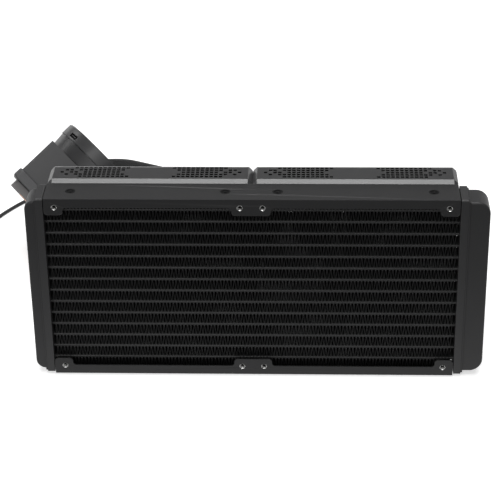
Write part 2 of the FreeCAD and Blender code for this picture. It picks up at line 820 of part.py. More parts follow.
def fan_rotor(label, placement):
    """The hub cup with its boss and the ring of lofted blades, moulded in one piece."""
    cup = [(S.fan_shaft, S.hub_top), (S.hub_radius - S.hub_edge, S.hub_top),
           (S.hub_radius, S.hub_top - S.hub_edge), (S.hub_radius, S.hub_low), (S.magnet_outer, S.hub_low),
           (S.magnet_outer, S.hub_top - S.hub_wall), (S.hub_boss, S.hub_top - S.hub_wall),
           (S.hub_boss, S.boss_low), (S.fan_shaft, S.boss_low)]
    outline = Part.makePolygon([Vector(r, 0, z) for r, z in cup + cup[:1]])
    hub = Part.Face(outline).revolve(Vector(), Vector(0, 0, 1), 360)
    rise = S.blade_high - S.blade_low - S.blade_thickness
    sections = []
    root = S.hub_radius - 2 * S.hub_wall
    middle = (S.hub_radius + S.blade_tip) / 2
    beyond = S.blade_tip + 2 * S.hub_wall
    for radius, (pitch, camber, sweep) in zip((root, middle, beyond), BLADE_SECTIONS):
        sections.append(blade_section(radius, rise / math.sin(math.radians(pitch)), pitch, camber, sweep))
    blade = Part.makeLoft(sections, True, False)
    swept = Part.makeCylinder(S.blade_tip, S.fan_depth).cut(
        Part.makeCylinder(S.hub_radius - S.hub_wall / 2, S.fan_depth))
    blade = blade.common(swept)
    pieces = [hub]
    for k in range(BLADES):
        piece = blade.copy()
        piece.rotate(Vector(), Vector(0, 0, 1), 360 * k / BLADES)
        pieces.append(piece)
    single(label, pieces[0].multiFuse(pieces[1:]), placement)


def fan_stator(label, placement):
    """The wound stator on the bearing housing: a core with poles, their coils and their shoes."""
    outer = S.stator_outer
    height = S.stator_high - S.stator_low
    middle = Vector(0, 0, S.stator_low + height / 4)
    core = Part.makeCylinder(outer * 0.45, height, Vector(0, 0, S.stator_low))
    rim = Part.makeCylinder(outer, height / 2, middle)
    rim = rim.cut(Part.makeCylinder(outer - S.pole_shoe, height / 2, middle))
    for k in range(FAN_POLES):
        corner = Vector(0, -S.pole_width / 2, S.stator_low + height * 0.1)
        pole = Part.makeBox(outer - S.pole_shoe / 2, S.pole_width, height * 0.8, corner)
        pole.rotate(Vector(), Vector(0, 0, 1), 360 * k / FAN_POLES)
        core = core.fuse(pole)
        slot = Part.makeBox(2 * outer, S.pole_gap, S.fan_depth, Vector(0, -S.pole_gap / 2, 0))
        slot.rotate(Vector(), Vector(0, 0, 1), 360 * (k + 0.5) / FAN_POLES)
        rim = rim.cut(slot)
    bore = Part.makeCylinder(S.housing_radius + S.close_fit, S.fan_depth)
    single(label, core.fuse(rim).cut(bore).removeSplitter(), placement)


def fan(side, centre):
    """One complete fan behind the radiator."""
    place = Placement(Vector(centre, S.radiator_depth, 0), Rotation(Vector(1, 0, 0), -90))
    fan_frame(side + "_fan_frame", place)
    fan_pads(side + "_fan_pads", place)
    fan_screws(side + "_fan_screws", place)
    ring(side + "_fan_circuit_board", "housing_radius + close_fit", "motor_base_radius - board_inset",
         "base_top", "board_top", place)
    fan_stator(side + "_fan_stator", place)
    ring(side + "_fan_bearing", "fan_shaft + shaft_clearance", "housing_radius - bearing_wall", "base_top",
         "housing_top - close_fit", place)
    fan_rotor(side + "_fan_rotor", place)
    disc(side + "_fan_shaft", "fan_shaft", "base_top + seat_fit", "hub_top", place)
    ring(side + "_fan_magnet", "magnet_inner", "magnet_outer", "magnet_low", "housing_top", place)


# Pump head, in its own frame: Z runs from the cold plate to the display


def head_frame():
    """Turn the head as it leans, with the lowest corner of its base on the table."""
    turned_by = Rotation(S.head_yaw, S.head_pitch, S.head_roll)
    down = [turned_by.multVec(axis).z for axis in (Vector(1, 0, 0), Vector(0, 1, 0), Vector(0, 0, 1))]
    flat = S.slab_side / 2 - S.slab_corner
    lowest = -flat * (abs(down[0]) + abs(down[1])) - S.slab_corner * math.hypot(down[0], down[1])
    lowest += S.slab_low * down[2]
    return Placement(Vector(S.head_x, S.head_y, -S.fan_size / 2 - lowest), turned_by)


def rounded_block(owner, side, low, height, corner):
    face = sketch(owner, "XY_Plane", low)
    square(face, side)
    pad(owner, face, height)
    dress(owner, "Fillet", "Radius", corner, lambda edge: runs_along(edge, 2))


def square_pocket(owner, side, start, depth, upward=False):
    face = sketch(owner, "XY_Plane", start)
    square(face, side)
    pocket(owner, face, depth, upward)


def round_pocket(owner, radius, start, depth):
    face = sketch(owner, "XY_Plane", start)
    circle(face, "0", "0", radius)
    pocket(owner, face, depth)


def base_screw_places():
    return [(f"{across} * base_screw_place", f"{up} * base_screw_place") for across, up in SCREW_SIDES]


def base_frame(place):
    """The slab that holds the cold plate against the pump body, with sunk seats for its screws."""
    owner = body("base_frame")
    rounded_block(owner, "slab_side", "slab_low", "slab_height", "slab_corner")
    square_pocket(owner, "(block_side + 2 * seat_fit)", "slab_low", "slab_height", upward=True)
    square_pocket(owner, "(plate_side + 2 * seat_fit)", "slab_low", "plate_lip - plate_proud", upward=True)
    heads = sketch(owner, "XY_Plane", "slab_low")
    for x, y in base_screw_places():
        circle(heads, x, y, "base_screw_head + base_screw_fit")
    pocket(owner, heads, "base_screw_head_height + base_screw_sunk", upward=True)
    shanks = sketch(owner, "XY_Plane", "slab_low")
    for x, y in base_screw_places():
        circle(shanks, x, y, "base_screw_shank + base_screw_fit")
    pocket(owner, shanks, "slab_height", upward=True)
    keep("base_frame", owner, place)


def base_screws(place):
    low = S.slab_low + S.base_screw_sunk
    solids = []
    for across, up in SCREW_SIDES:
        x = across * S.base_screw_place
        y = up * S.base_screw_place
        head = Part.makeCylinder(S.base_screw_head, S.base_screw_head_height, Vector(x, y, low))
        shank = Part.makeCylinder(S.base_screw_shank, S.base_screw_length, Vector(x, y, low))
        solids.append(head.fuse(shank).removeSplitter().cut(cross_recess(Vector(x, y, low))))
    group("base_screws", solids, place)


def cold_plate(place):
    """The copper plate, its step through the slab and the row of thin fins in the water."""
    def slab(side, bottom, top):
        return Part.makeBox(side, side, top - bottom, Vector(-side / 2, -side / 2, bottom))
    plate = slab(S.plate_side, S.cold_face, S.plate_top).fuse(slab(S.block_side, S.plate_top, S.block_top))
    pitch = S.micro_fin_side / (MICRO_FINS - 0.5)
    fins = []
    for k in range(MICRO_FINS):
        x = -S.micro_fin_side / 2 + k * pitch
        fins.append(Part.makeBox(pitch / 2, S.micro_fin_side, S.micro_fin_height,
                                 Vector(x, -S.micro_fin_side / 2, S.block_top)))
    single("cold_plate", plate.multiFuse(fins).removeSplitter(), place)


def base_gasket(place):
    owner = body("base_gasket")
    rounded_block(owner, "block_side", "block_top", "gasket_thickness", "slab_corner")
    square_pocket(owner, "(chamber_side + 2 * gasket_inset)", "block_top", "gasket_thickness", upward=True)
    keep("base_gasket", owner, place)


def mounting_ring(place):
    """The ring round the plinth that carries the clamping bracket, standing proud of the box."""
    owner = body("mounting_ring")
    rounded_block(owner, "ring_side", "-ring_height", "ring_height", "ring_corner")
    dress(owner, "Fillet", "Radius", "ring_round",
          lambda edge: near(edge.BoundBox.ZMax, edge.BoundBox.ZMin) and edge.BoundBox.DiagonalLength > 1)
    square_pocket(owner, "(plinth_side + 2 * seat_fit)", "-ring_height", "ring_height", upward=True)
    keep("mounting_ring", owner, place)


def pump_body(place):
    """The square body with its plinth, wet chamber, dry motor space and hose sockets."""
    owner = body("pump_body")
    rounded_block(owner, "box_side", "0", "box_height", "box_round")
    plinth = sketch(owner, "XY_Plane", "-plinth_depth")
    square(plinth, "plinth_side")
    pad(owner, plinth, "plinth_depth")
    square_pocket(owner, "chamber_side", "-plinth_depth", "plinth_depth + chamber_ceiling", upward=True)
    round_pocket(owner, "dry_radius", "box_height", "box_height - dry_floor")
    round_pocket(owner, "can_flange_radius + seat_fit", "dry_floor", "dry_floor - can_seat")
    round_pocket(owner, "wet_radius", "can_seat", "can_seat - chamber_ceiling")
    sockets = sketch(owner, "XZ_Plane", "-box_side / 2")
    for x in ("-elbow_x", "elbow_x"):
        circle(sockets, x, "elbow_z", "elbow_stem + close_fit")
    pocket(owner, sockets, "elbow_socket", upward=True)
    cable_hole = sketch(owner, "XZ_Plane", "-box_side / 2")
    circle(cable_hole, "grommet_x", "grommet_z", "grommet_tip + close_fit")
    pocket(owner, cable_hole, "grommet_root + seat_fit", upward=True)
    threads = sketch(owner, "XY_Plane", "-plinth_depth")
    for x, y in base_screw_places():
        circle(threads, x, y, "base_screw_shank + close_fit")
    pocket(owner, threads, "base_screw_grip + seat_fit", upward=True)
    keep("pump_body", owner, place)


def jet_plate(place):
    """The plate over the fins, with two slots for the water and a boss for the pump's shaft."""
    side = S.chamber_side - 2 * S.seat_fit
    top = S.chamber_ceiling
    low = top - S.jet_plate_thickness
    plate = Part.makeBox(side, side, S.jet_plate_thickness, Vector(-side / 2, -side / 2, low))
    boss = Part.makeCylinder(S.jet_boss_radius, S.jet_boss_height + S.jet_plate_thickness, Vector(0, 0, low))
    piece = plate.fuse(boss)
    for y in (-S.jet_slot_place, S.jet_slot_place):
        corner = Vector(-S.jet_slot_length / 2, y - S.jet_slot_width / 2, low)
        piece = piece.cut(Part.makeBox(S.jet_slot_length, S.jet_slot_width, S.jet_plate_thickness, corner))
    seat = Part.makeCylinder(S.pump_shaft + S.shaft_seat_fit, S.jet_boss_height + S.shaft_seat,
                             Vector(0, 0, top - S.shaft_seat))
    single("jet_plate", piece.cut(seat).removeSplitter(), place)


def impeller(place):
    """A shrouded disc with vanes below and the stem that carries the ring magnet above."""
    bore = S.pump_shaft + S.shaft_clearance
    stem = S.impeller_stem
    disc_top = S.impeller_disc + S.impeller_disc_height
    stem_length = S.impeller_stem_top - S.impeller_low
    piece = Part.makeCylinder(S.impeller_radius, S.impeller_disc_height, Vector(0, 0, S.impeller_disc))
    piece = piece.fuse(Part.makeCylinder(stem, stem_length, Vector(0, 0, S.impeller_low)))
    centre = Vector(S.vane_centre_x, -S.vane_centre_y, S.impeller_low)
    vane = Part.makeCylinder(S.vane_radius, S.impeller_disc - S.impeller_low, centre)
    vane = vane.cut(Part.makeCylinder(S.vane_radius - S.vane_thickness, S.impeller_disc, centre))
    vane = vane.common(Part.makeCylinder(S.impeller_radius, disc_top).cut(Part.makeCylinder(stem, disc_top)))
    reach = 2 * S.impeller_radius
    vane = vane.common(Part.makeBox(reach, reach, disc_top, Vector(0, -stem, 0)))
    for k in range(VANES):
        copy = vane.copy()
        copy.rotate(Vector(), Vector(0, 0, 1), 360 * k / VANES)
        piece = piece.fuse(copy)
    piece = piece.cut(Part.makeCylinder(bore, S.can_top))
    single("impeller", piece.removeSplitter(), place)
    ring("impeller_magnet", "impeller_stem", "rotor_magnet_radius", "impeller_disc + impeller_disc_height",
         "impeller_stem_top - seat_fit", place)


def pump_stator(place):
    """The dry half of the motor: a ring with wound poles that stand round the can."""
    low = S.can_seat + S.can_flange
    height = S.can_top - low - S.can_flange
    inner = S.can_radius + S.seat_fit
    outer = S.can_flange_radius - S.shaft_seat
    piece = Part.makeCylinder(outer, height, Vector(0, 0, low))
    piece = piece.cut(Part.makeCylinder(outer - S.pump_yoke, height, Vector(0, 0, low)))
    coil_inner = inner + S.pump_coil_inset
    coil_length = outer - S.pump_yoke - coil_inner - S.seat_fit
    for k in range(PUMP_POLES):
        pole = Part.makeBox(outer - inner - S.pump_yoke / 2, S.pump_pole_width, height,
                            Vector(inner, -S.pump_pole_width / 2, low))
        coil = Part.makeBox(coil_length, S.pump_coil_width, height * 0.84,
                            Vector(coil_inner, -S.pump_coil_width / 2, low + height * 0.08))
        pole = pole.fuse(coil)
        pole.rotate(Vector(), Vector(0, 0, 1), 360 * k / PUMP_POLES)
        piece = piece.fuse(pole)
    piece = piece.cut(Part.makeCylinder(inner, height, Vector(0, 0, low)))
    single("pump_stator", piece.removeSplitter(), place)


def pump_motor(place):
    jet_plate(place)
    impeller(place)
    pump_stator(place)
    flange = "can_seat + can_flange"
    seat = "pump_shaft + shaft_seat_fit"
    turned("isolation_can",
           [("can_radius - can_wall", "can_seat"), ("can_flange_radius", "can_seat"),
            ("can_flange_radius", flange), ("can_radius", flange), ("can_radius", "can_top"),
            ("0", "can_top"), ("0", "can_roof"), (seat, "can_roof"), (seat, "can_roof - shaft_seat"),
            ("jet_boss_radius", "can_roof - shaft_seat"), ("jet_boss_radius", "can_roof"),
            ("can_radius - can_wall", "can_roof")], place)
    disc("impeller_shaft", "pump_shaft", "chamber_ceiling - shaft_seat", "can_roof", place)


def display_end(place):
    """The flared collar, the cap ring, the round display and the board under it."""
    foot = "box_height"
    turned("collar",
           [("collar_bore", foot), ("collar_foot - groove", foot),
            ("collar_foot - groove", f"{foot} + groove"), ("collar_foot", f"{foot} + groove"),
            ("collar_top", "seam - groove"), ("collar_top - groove", "seam - groove"),
            ("collar_top - groove", "seam"), ("collar_bore", "seam")], place)
    owner = body("cap_ring")
    section = sketch(owner, "XZ_Plane")
    ledge = "glass_low - ledge_height"
    inner = "glass_radius + close_fit"
    polygon(section, [("collar_bore", "seam"), ("cap_radius", "seam"),
                      ("cap_radius", "cap_top - cap_chamfer"), ("cap_radius - cap_chamfer", "cap_top"),
                      (inner, "cap_top"), (inner, "glass_low"),
                      ("glass_radius - ledge_width", "glass_low"), ("glass_radius - ledge_width", ledge),
                      ("collar_bore", ledge)])
    turn(owner, section)
    service_port = doc.addObject("Part::Box", "service_port")
    service_port.setExpression("Length", bound("service_port_depth + 1"))
    service_port.setExpression("Width", bound("service_port_length"))
    service_port.setExpression("Height", bound("service_port_height"))
    about_axis = Placement(Vector(), Rotation(Vector(0, 0, 1), S.service_port_angle))
    corner = Vector(S.cap_radius - S.service_port_depth, -S.service_port_length / 2,
                    S.seam + S.cap_height / 2 - S.service_port_height)
    service_port.Placement = about_axis.multiply(Placement(corner, Rotation()))
    ported = doc.addObject("Part::Cut", "cap_with_port")
    ported.Base = owner
    ported.Tool = service_port
    keep("cap_ring", ported, place)
    disc("display_glass", "glass_radius", "glass_low", "glass_low + glass_thickness", place)
    disc("display_panel", "glass_radius - panel_inset", "glass_low - panel_thickness", "glass_low", place)
    board_radius = S.collar_bore - S.control_board_fit
    board = Part.makeCylinder(board_radius, S.control_board_thickness, Vector(0, 0, S.box_height))
    top = S.box_height + S.control_board_thickness
    for x, y, length, width, height in BOARD_PARTS:
        board = board.fuse(Part.makeBox(length, width, height, Vector(x, y, top)))
    single("control_board", board.removeSplitter(), place)


def elbow_place(place, x):
    """The frame of one elbow: +Z out of the head's back, +X along its hose."""
    outward = Rotation(Vector(1, 0, 0), -90)
    swivel = Rotation(Vector(0, 1, 0), S.elbow_turn - 90)
    local = Placement(Vector(x, S.box_side / 2, S.elbow_z), swivel.multiply(outward))
    return place.multiply(local)


def swivel_elbow(label, place):
    low = S.elbow_rise
    centre = low + S.elbow_bend
    seat = Vector(0, 0, S.elbow_seal)
    outlet_start = Vector(S.elbow_bend, 0, centre)
    stem = Part.makeCylinder(S.elbow_stem, S.elbow_socket + S.elbow_seal, Vector(0, 0, -S.elbow_socket))
    shoulder = Part.makeCylinder(S.elbow_shoulder, S.elbow_shoulder_height - S.elbow_seal, seat)
    neck = Part.makeCylinder(S.elbow_radius, low - S.elbow_seal, seat)
    section = Part.Face(Part.Wire(Part.makeCircle(S.elbow_radius, Vector(0, 0, low), Vector(0, 0, 1))))
    bend = section.revolve(Vector(S.elbow_bend, 0, low), Vector(0, 1, 0), 90)
    outlet = Part.makeCylinder(S.elbow_radius, S.elbow_outlet / 2, outlet_start, Vector(1, 0, 0))
    barb = Part.makeCylinder(S.hose_radius, S.elbow_outlet, outlet_start, Vector(1, 0, 0))
    piece = stem.multiFuse([shoulder, neck, bend, outlet, barb])
    single(label, piece.removeSplitter(), place)


def hose_end(place):
    """Where a hose starts on an elbow, and its direction there."""
    start = place.multVec(Vector(S.elbow_bend + S.elbow_outlet, 0, S.elbow_rise + S.elbow_bend))
    return start, place.Rotation.multVec(Vector(1, 0, 0))


def pump_head(place):
    base_frame(place)
    base_screws(place)
    cold_plate(place)
    base_gasket(place)
    mounting_ring(place)
    pump_body(place)
    pump_motor(place)
    display_end(place)
    upper = elbow_place(place, -S.elbow_x)
    lower = elbow_place(place, S.elbow_x)
    swivel_elbow("upper_elbow", upper)
    swivel_elbow("lower_elbow", lower)
    seals = []
    for elbow in (upper, lower):
        seal = Part.makeCylinder(S.elbow_shoulder - S.elbow_seal_inset, S.elbow_seal)
        seal = seal.cut(Part.makeCylinder(S.elbow_stem + S.close_fit, S.elbow_seal))
        seal.Placement = elbow
        seals.append(seal)
    group("elbow_seals", seals)
    outward = Placement(Vector(S.grommet_x, S.box_side / 2, S.grommet_z), Rotation(Vector(1, 0, 0), -90))
    grommet_place = place.multiply(outward)
    turned("cable_grommet",
           [("0", "-grommet_root"), ("grommet_tip", "-grommet_root"), ("grommet_tip", "0"),
            ("grommet_foot", "0"), ("grommet_foot", "grommet_collar"), ("grommet_tip", "grommet_length"),
            ("0", "grommet_length")], grommet_place)
    return upper, lower, grommet_place


# Hoses, crimp sleeves and cable


def bent_tube(label, points, radius):
    """A round cord along straight runs joined by arcs as large as the runs allow."""
    corners = [Vector(*point) for point in points]
    edges = []
    radii = []
    start = corners[0]
    for before, corner, after in zip(corners, corners[1:], corners[2:]):
        back = before - corner
        ahead = after - corner
        trim = 0.45 * min(back.Length, ahead.Length)
        turn_angle = math.pi - back.getAngle(ahead)
        radii.append(trim / math.tan(turn_angle / 2))
        back.normalize()
        ahead.normalize()
        enter = corner + back * trim
        leave = corner + ahead * trim
        middle_way = back + ahead
        middle_way.normalize()
        depth = radii[-1] / math.cos(turn_angle / 2) - radii[-1]
        edges.append(Part.LineSegment(start, enter).toShape())
        edges.append(Part.Arc(enter, corner + middle_way * depth, leave).toShape())
        start = leave
    edges.append(Part.LineSegment(start, corners[-1]).toShape())
    path = Part.Wire(edges)
    section = Part.Wire(Part.makeCircle(radius, corners[0], corners[1] - corners[0]))
    tube = path.makePipeShell([section], True, False)
    ideal = math.pi * radius ** 2 * path.Length
    print(label, "length", round(path.Length, 1), "radii", [round(r, 1) for r in radii],
          "volume ratio", round(tube.Volume / ideal, 5))
    single(label, tube)


def sleeve(place, start):
    """A crimp sleeve over the joint between a stem and its hose, along the frame's +Z."""
    shell = Part.makeCylinder(S.sleeve_radius, S.sleeve_length, Vector(0, 0, start))
    shell = shell.cut(Part.makeCylinder(S.hose_radius + S.close_fit, S.sleeve_length, Vector(0, 0, start)))
    shell.Placement = place
    return shell


def hoses_and_cable(upper, lower, grommet_place):
    head_sleeves = []
    port_sleeves = []
    for label, elbow, height, middle in (("upper_hose", upper, S.port_upper, UPPER_HOSE_ROUTE),
                                         ("lower_hose", lower, S.port_lower, LOWER_HOSE_ROUTE)):
        port = port_place(height)
        start, ahead = hose_end(elbow)
        end = port.multVec(Vector(0, 0, S.port_end))
        route = [start, start + ahead * HEAD_RUN] + middle + [end + Vector(0, PORT_RUN, 0), end]
        bent_tube(label, route, S.hose_radius)
        port_sleeves.append(sleeve(port, S.port_end - S.sleeve_lap))
        along = Placement(start, Rotation(Vector(0, 0, 1), ahead))
        head_sleeves.append(sleeve(along, S.port_flange_height - S.sleeve_lap))
        print(label, "starts at", [round(c, 2) for c in route[0]], "then", [round(c, 2) for c in route[1]],
              "ends at", [round(c, 2) for c in route[-2]], [round(c, 2) for c in route[-1]])
    group("head_hose_sleeves", head_sleeves)
    group("port_hose_sleeves", port_sleeves)
    start = grommet_place.multVec(Vector(0, 0, S.grommet_length))
    ahead = grommet_place.Rotation.multVec(Vector(0, 0, 1))
    print("pump_cable starts at", [round(c, 2) for c in start], "then",
          [round(c, 2) for c in start + ahead * CABLE_RUN])
    bent_tube("pump_cable", [start, start + ahead * CABLE_RUN] + CABLE_ROUTE, S.cable_radius)
    table = -S.fan_size / 2
    coil_place = Placement(Vector(COIL_PLACE[0], COIL_PLACE[1], table), Rotation())
    ring("cable_coil", "coil_radius - coil_width / 2", "coil_radius + coil_width / 2", "0", "coil_height",
         coil_place)
    connector = doc.addObject("Part::Box", "connector")
    connector.setExpression("Length", bound("connector_length"))
    connector.setExpression("Width", bound("connector_width"))
    connector.setExpression("Height", bound("connector_height"))
    side = COIL_PLACE[1] - S.coil_radius - S.connector_width / 2
    corner = Vector(COIL_PLACE[0] - S.connector_length / 2, side, table + S.coil_height)
    keep("cable_connector", connector, Placement(corner, Rotation()))


radiator()
fan("left", -S.fan_centre)
fan("right", S.fan_centre)
fittings = pump_head(head_frame())
hoses_and_cable(*fittings)
doc.recompute()

for item in doc.Objects:
    if "Invalid" in item.State or "Error" in item.State:
        raise RuntimeError(f"{item.Name} failed: {item.State}")
for label, item in nodes.items():
    if item.Shape.isNull() or not item.Shape.isValid() or not item.Shape.Solids:
        raise RuntimeError(f"{label} has no valid shape")

os.makedirs("parts", exist_ok=True)
for label, item in nodes.items():
    item.Shape.exportStep(f"parts/{label}.step")
print(len(nodes), "pieces written")
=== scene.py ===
import json
import math
import random

import bmesh
import bpy
from mathutils import Matrix, Vector


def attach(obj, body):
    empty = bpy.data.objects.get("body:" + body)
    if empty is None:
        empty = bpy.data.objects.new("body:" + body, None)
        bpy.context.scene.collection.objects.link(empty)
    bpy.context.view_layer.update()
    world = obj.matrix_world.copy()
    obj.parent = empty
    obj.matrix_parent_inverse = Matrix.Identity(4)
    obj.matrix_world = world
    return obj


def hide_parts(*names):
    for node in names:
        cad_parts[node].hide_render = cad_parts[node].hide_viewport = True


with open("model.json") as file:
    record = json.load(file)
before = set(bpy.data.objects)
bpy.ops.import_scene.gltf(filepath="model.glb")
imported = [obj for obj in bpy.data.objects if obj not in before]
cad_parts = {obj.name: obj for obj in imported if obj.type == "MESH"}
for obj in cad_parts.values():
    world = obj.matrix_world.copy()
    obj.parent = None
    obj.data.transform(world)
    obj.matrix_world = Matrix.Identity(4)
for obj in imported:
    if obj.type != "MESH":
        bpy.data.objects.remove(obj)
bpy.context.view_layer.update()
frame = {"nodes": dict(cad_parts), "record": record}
scene = bpy.context.scene

# The shapes' sizes and places are in millimetres, and MM takes them to metres

MM = 0.001
TABLE_HEIGHT = -69.8
FAN_CENTRES = {"left": -69.85, "right": 69.85}


# Camera, its place in metres

SENSOR_WIDTH = 36.0
LENS = 126.07
CAMERA_PLACE = (0.039882, -1.03649, 0.597325)
CAMERA_TURNS = ((2.2633, "Z"), (61.35, "X"), (-0.8416, "Z"))


def placement(place, turns):
    """The matrix of a place in metres and of turns in degrees, each about the axis as turned so far."""
    matrix = Matrix.Translation(place)
    for degrees, axis in turns:
        matrix = matrix @ Matrix.Rotation(math.radians(degrees), 4, axis)
    return matrix


def place_camera():
    camera = bpy.data.objects.new("camera", bpy.data.cameras.new("camera"))
    scene.collection.objects.link(camera)
    camera.data.sensor_width = SENSOR_WIDTH
    camera.data.lens = LENS
    camera.data.clip_start = 0.05
    camera.data.clip_end = 20.0
    camera.matrix_world = placement(CAMERA_PLACE, CAMERA_TURNS)
    scene.camera = camera


place_camera()


# Cords: the points of each route, as the hoses and the cable are laid

UPPER_HOSE_ROUTE = [(-144.54, 224.07, -18.77), (-117.35, 230.42, -16.64), (-88, 232, -24.8),
                    (-38, 229, -35.5), (12, 220, -38.5), (62, 198, -33), (105, 164, -21), (138, 126, -4),
                    (152.25, 78.4, 12), (152.25, 32.4, 12)]
LOWER_HOSE_ROUTE = [(-119.94, 215.93, -43.77), (-92.75, 222.29, -41.63), (-60, 220.5, -47.8),
                    (-13, 214, -59.5), (37, 204, -62), (81, 183, -59), (117, 150, -51), (140, 114, -38),
                    (152.25, 78.4, -28), (152.25, 32.4, -28)]
CABLE_ROUTE = [(-158.43, 203.19, -40.77), (-161.14, 217.2, -48.0), (-166, 241, -61.5), (-170, 262, -66.9),
               (-184, 275, -68.3), (-196, 270.8, -68.3), (-218.6, 235.3, -68.3), (-220.5, 220, -68.3)]
HOSE_DIAMETER = 12.0
HOSE_SIDES = 36
CABLE_DIAMETER = 3.0
CABLE_SIDES = 14

# The coil, in degrees from its start; each turn passes over to the next one in CROSSING degrees

COIL_CENTRE = (-237.0, 214.0)
COIL_OUTER = 18.0
COIL_START = math.degrees(math.atan2(CABLE_ROUTE[-1][1] - COIL_CENTRE[1],
                                     CABLE_ROUTE[-1][0] - COIL_CENTRE[0]))
COIL_STEP = 20
COIL_SWEEP = 1380
CROSSING = 100.0
SPLINE_GAIN = 1.0155

# Past the last turn: degrees on, height above the upper turns and way in; then places from the coil's centre

COIL_RISE = ((0, 1.1, 0.1), (20, 2.3, 0.5), (40, 3.1, 1.0), (60, 3.4, 1.4))
COIL_END = ((16.7, -3.4, -62.2), (14.8, -12.1, -61.7), (9.9, -16.5, -61.6), (4.0, -16.5, -61.6))


def coil_point(inward, degrees, height):
    """A point of the coil's line, the given way in from its outer turns."""
    radius = (COIL_OUTER - inward) * SPLINE_GAIN
    angle = math.radians(degrees)
    return (COIL_CENTRE[0] + radius * math.cos(angle), COIL_CENTRE[1] + radius * math.sin(angle), height)


def coil_turns():
    """Four turns of the put away cable: two on the table and two on them."""
    low = TABLE_HEIGHT + CABLE_DIAMETER / 2
    points = []
    for swept in range(COIL_STEP, COIL_SWEEP, COIL_STEP):
        turn = swept // 360
        into = max(0.0, (swept % 360 - (360 - CROSSING)) / CROSSING) * math.pi / 2
        if turn == 0:
            inward, up = 1 - math.cos(into), 0.0
        elif turn == 1:
            inward, up = 1.0, math.sin(into)
        elif turn == 2:
            inward, up = 1 - math.sqrt(1 - (1 - math.sin(into)) ** 2), 1.0
        else:
            inward, up = 0.0, 1.0
        points.append(coil_point(CABLE_DIAMETER * inward, COIL_START - swept, low + CABLE_DIAMETER * up))
    return points


def spline_points(name, route):
    """Points along the smooth line of a route, in metres."""
    data = bpy.data.curves.new(name + "_line", "CURVE")
    data.dimensions = "3D"
    data.resolution_u = 8
    spline = data.splines.new("NURBS")
    spline.points.add(len(route) - 1)
    for point, place in zip(spline.points, route):
        point.co = (*(c * MM for c in place), 1.0)
    spline.order_u = 3
    spline.use_endpoint_u = True
    line = bpy.data.objects.new(name + "_line", data)
    scene.collection.objects.link(line)
    bpy.context.view_layer.update()
    traced = bpy.data.meshes.new_from_object(line.evaluated_get(bpy.context.evaluated_depsgraph_get()))
    points = [vertex.co.copy() for vertex in traced.vertices]
    bpy.data.objects.remove(line)
    bpy.data.curves.remove(data)
    bpy.data.meshes.remove(traced)
    return points


def add_piece(name, mesh):
    """The mesh as a piece on the cooler's body."""
    piece = bpy.data.objects.new(name, mesh)
    scene.collection.objects.link(piece)
    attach(piece, "cooler")
    return piece


def new_piece(name, vertices, faces, smooth=True):
    mesh = bpy.data.meshes.new(name)
    mesh.from_pydata([tuple(v) for v in vertices], [], faces)
    mesh.validate()
    if smooth:
        mesh.polygons.foreach_set("use_smooth", [True] * len(mesh.polygons))
    return add_piece(name, mesh)


def tube_along(name, points, radius, sides):
    """A closed round tube round the points, with the way round and the way along it as UVs in metres."""
    count = len(points)
    tangents = []
    for k in range(count):
        ahead = points[min(k + 1, count - 1)] - points[max(k - 1, 0)]
        tangents.append(ahead.normalized())
    across = tangents[0].orthogonal().normalized()
    vertices = []
    along = [0.0]
    for k in range(count):
        across = (across - tangents[k] * across.dot(tangents[k])).normalized()
        other = tangents[k].cross(across)
        for side in range(sides):
            angle = math.tau * side / sides
            vertices.append(points[k] + (across * math.cos(angle) + other * math.sin(angle)) * radius)
        if k:
            along.append(along[-1] + (points[k] - points[k - 1]).length)
    around = math.tau * radius / sides
    faces = []
    places = []
    for k in range(count - 1):
        first = k * sides
        for side in range(sides):
            after = (side + 1) % sides
            faces.append((first + side, first + after, first + sides + after, first + sides + side))
            places += [(side * around, along[k]), ((side + 1) * around, along[k]),
                       ((side + 1) * around, along[k + 1]), (side * around, along[k + 1])]
    faces.append(tuple(range(sides))[::-1])
    faces.append(tuple(range((count - 1) * sides, count * sides)))
    places += [(0.0, 0.0)] * (2 * sides)
    piece = new_piece(name, vertices, faces)
    layer = piece.data.uv_layers.new(name="along")
    for loop, place in zip(layer.data, places):
        loop.uv = place
    return piece


def lay_hoses():
    hoses = []
    for name, route in (("upper_hose", UPPER_HOSE_ROUTE), ("lower_hose", LOWER_HOSE_ROUTE)):
        points = spline_points(name, route)
        hose = tube_along(name + "_sleeved", points, HOSE_DIAMETER / 2 * MM, HOSE_SIDES)
        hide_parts(name)
        hoses.append(hose)
    return hoses


def lay_cable():
    """The cable from the head over the table, round its coil and on to its plug, and its line's points."""
    upper = TABLE_HEIGHT + CABLE_DIAMETER * 1.5
    last = COIL_START - COIL_SWEEP
    rise = [coil_point(inward, last - step, upper + height) for step, height, inward in COIL_RISE]
    end = [(COIL_CENTRE[0] + x, COIL_CENTRE[1] + y, z) for x, y, z in COIL_END]
    points = spline_points("pump_cable", CABLE_ROUTE + coil_turns() + rise + end)
    cable = tube_along("pump_cable_sheathed", points, CABLE_DIAMETER / 2 * MM, CABLE_SIDES)
    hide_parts("pump_cable", "cable_coil")
    return cable, points


hoses = lay_hoses()
cable, cable_points = lay_cable()


# Radiator core: the real folds of the fins between the flat tubes

CORE_HALF = 67.4
TUBES = 14
OUTER_ROW = 9.355
TUBE_THICKNESS = 1.9
FIN_LENGTH = 276.4
FIN_FRONT = 5.2
FIN_BACK = 18.8
FOLDS = 117
FOLD_SHIFT = 0.4
FOLD_WOBBLE = 0.05
FOIL = 0.2
CREST = 0.4

# A bead's half sizes, its place, and its two rings as shares of the half width and of the half depth

BEAD = (0.95, 0.5, 0.62)
BEAD_FROM_EDGE = 0.45
BEAD_SINK = 0.15
BEAD_SIDES = 6
BEAD_RINGS = ((0.6, 0.8), (1.0, -0.4))


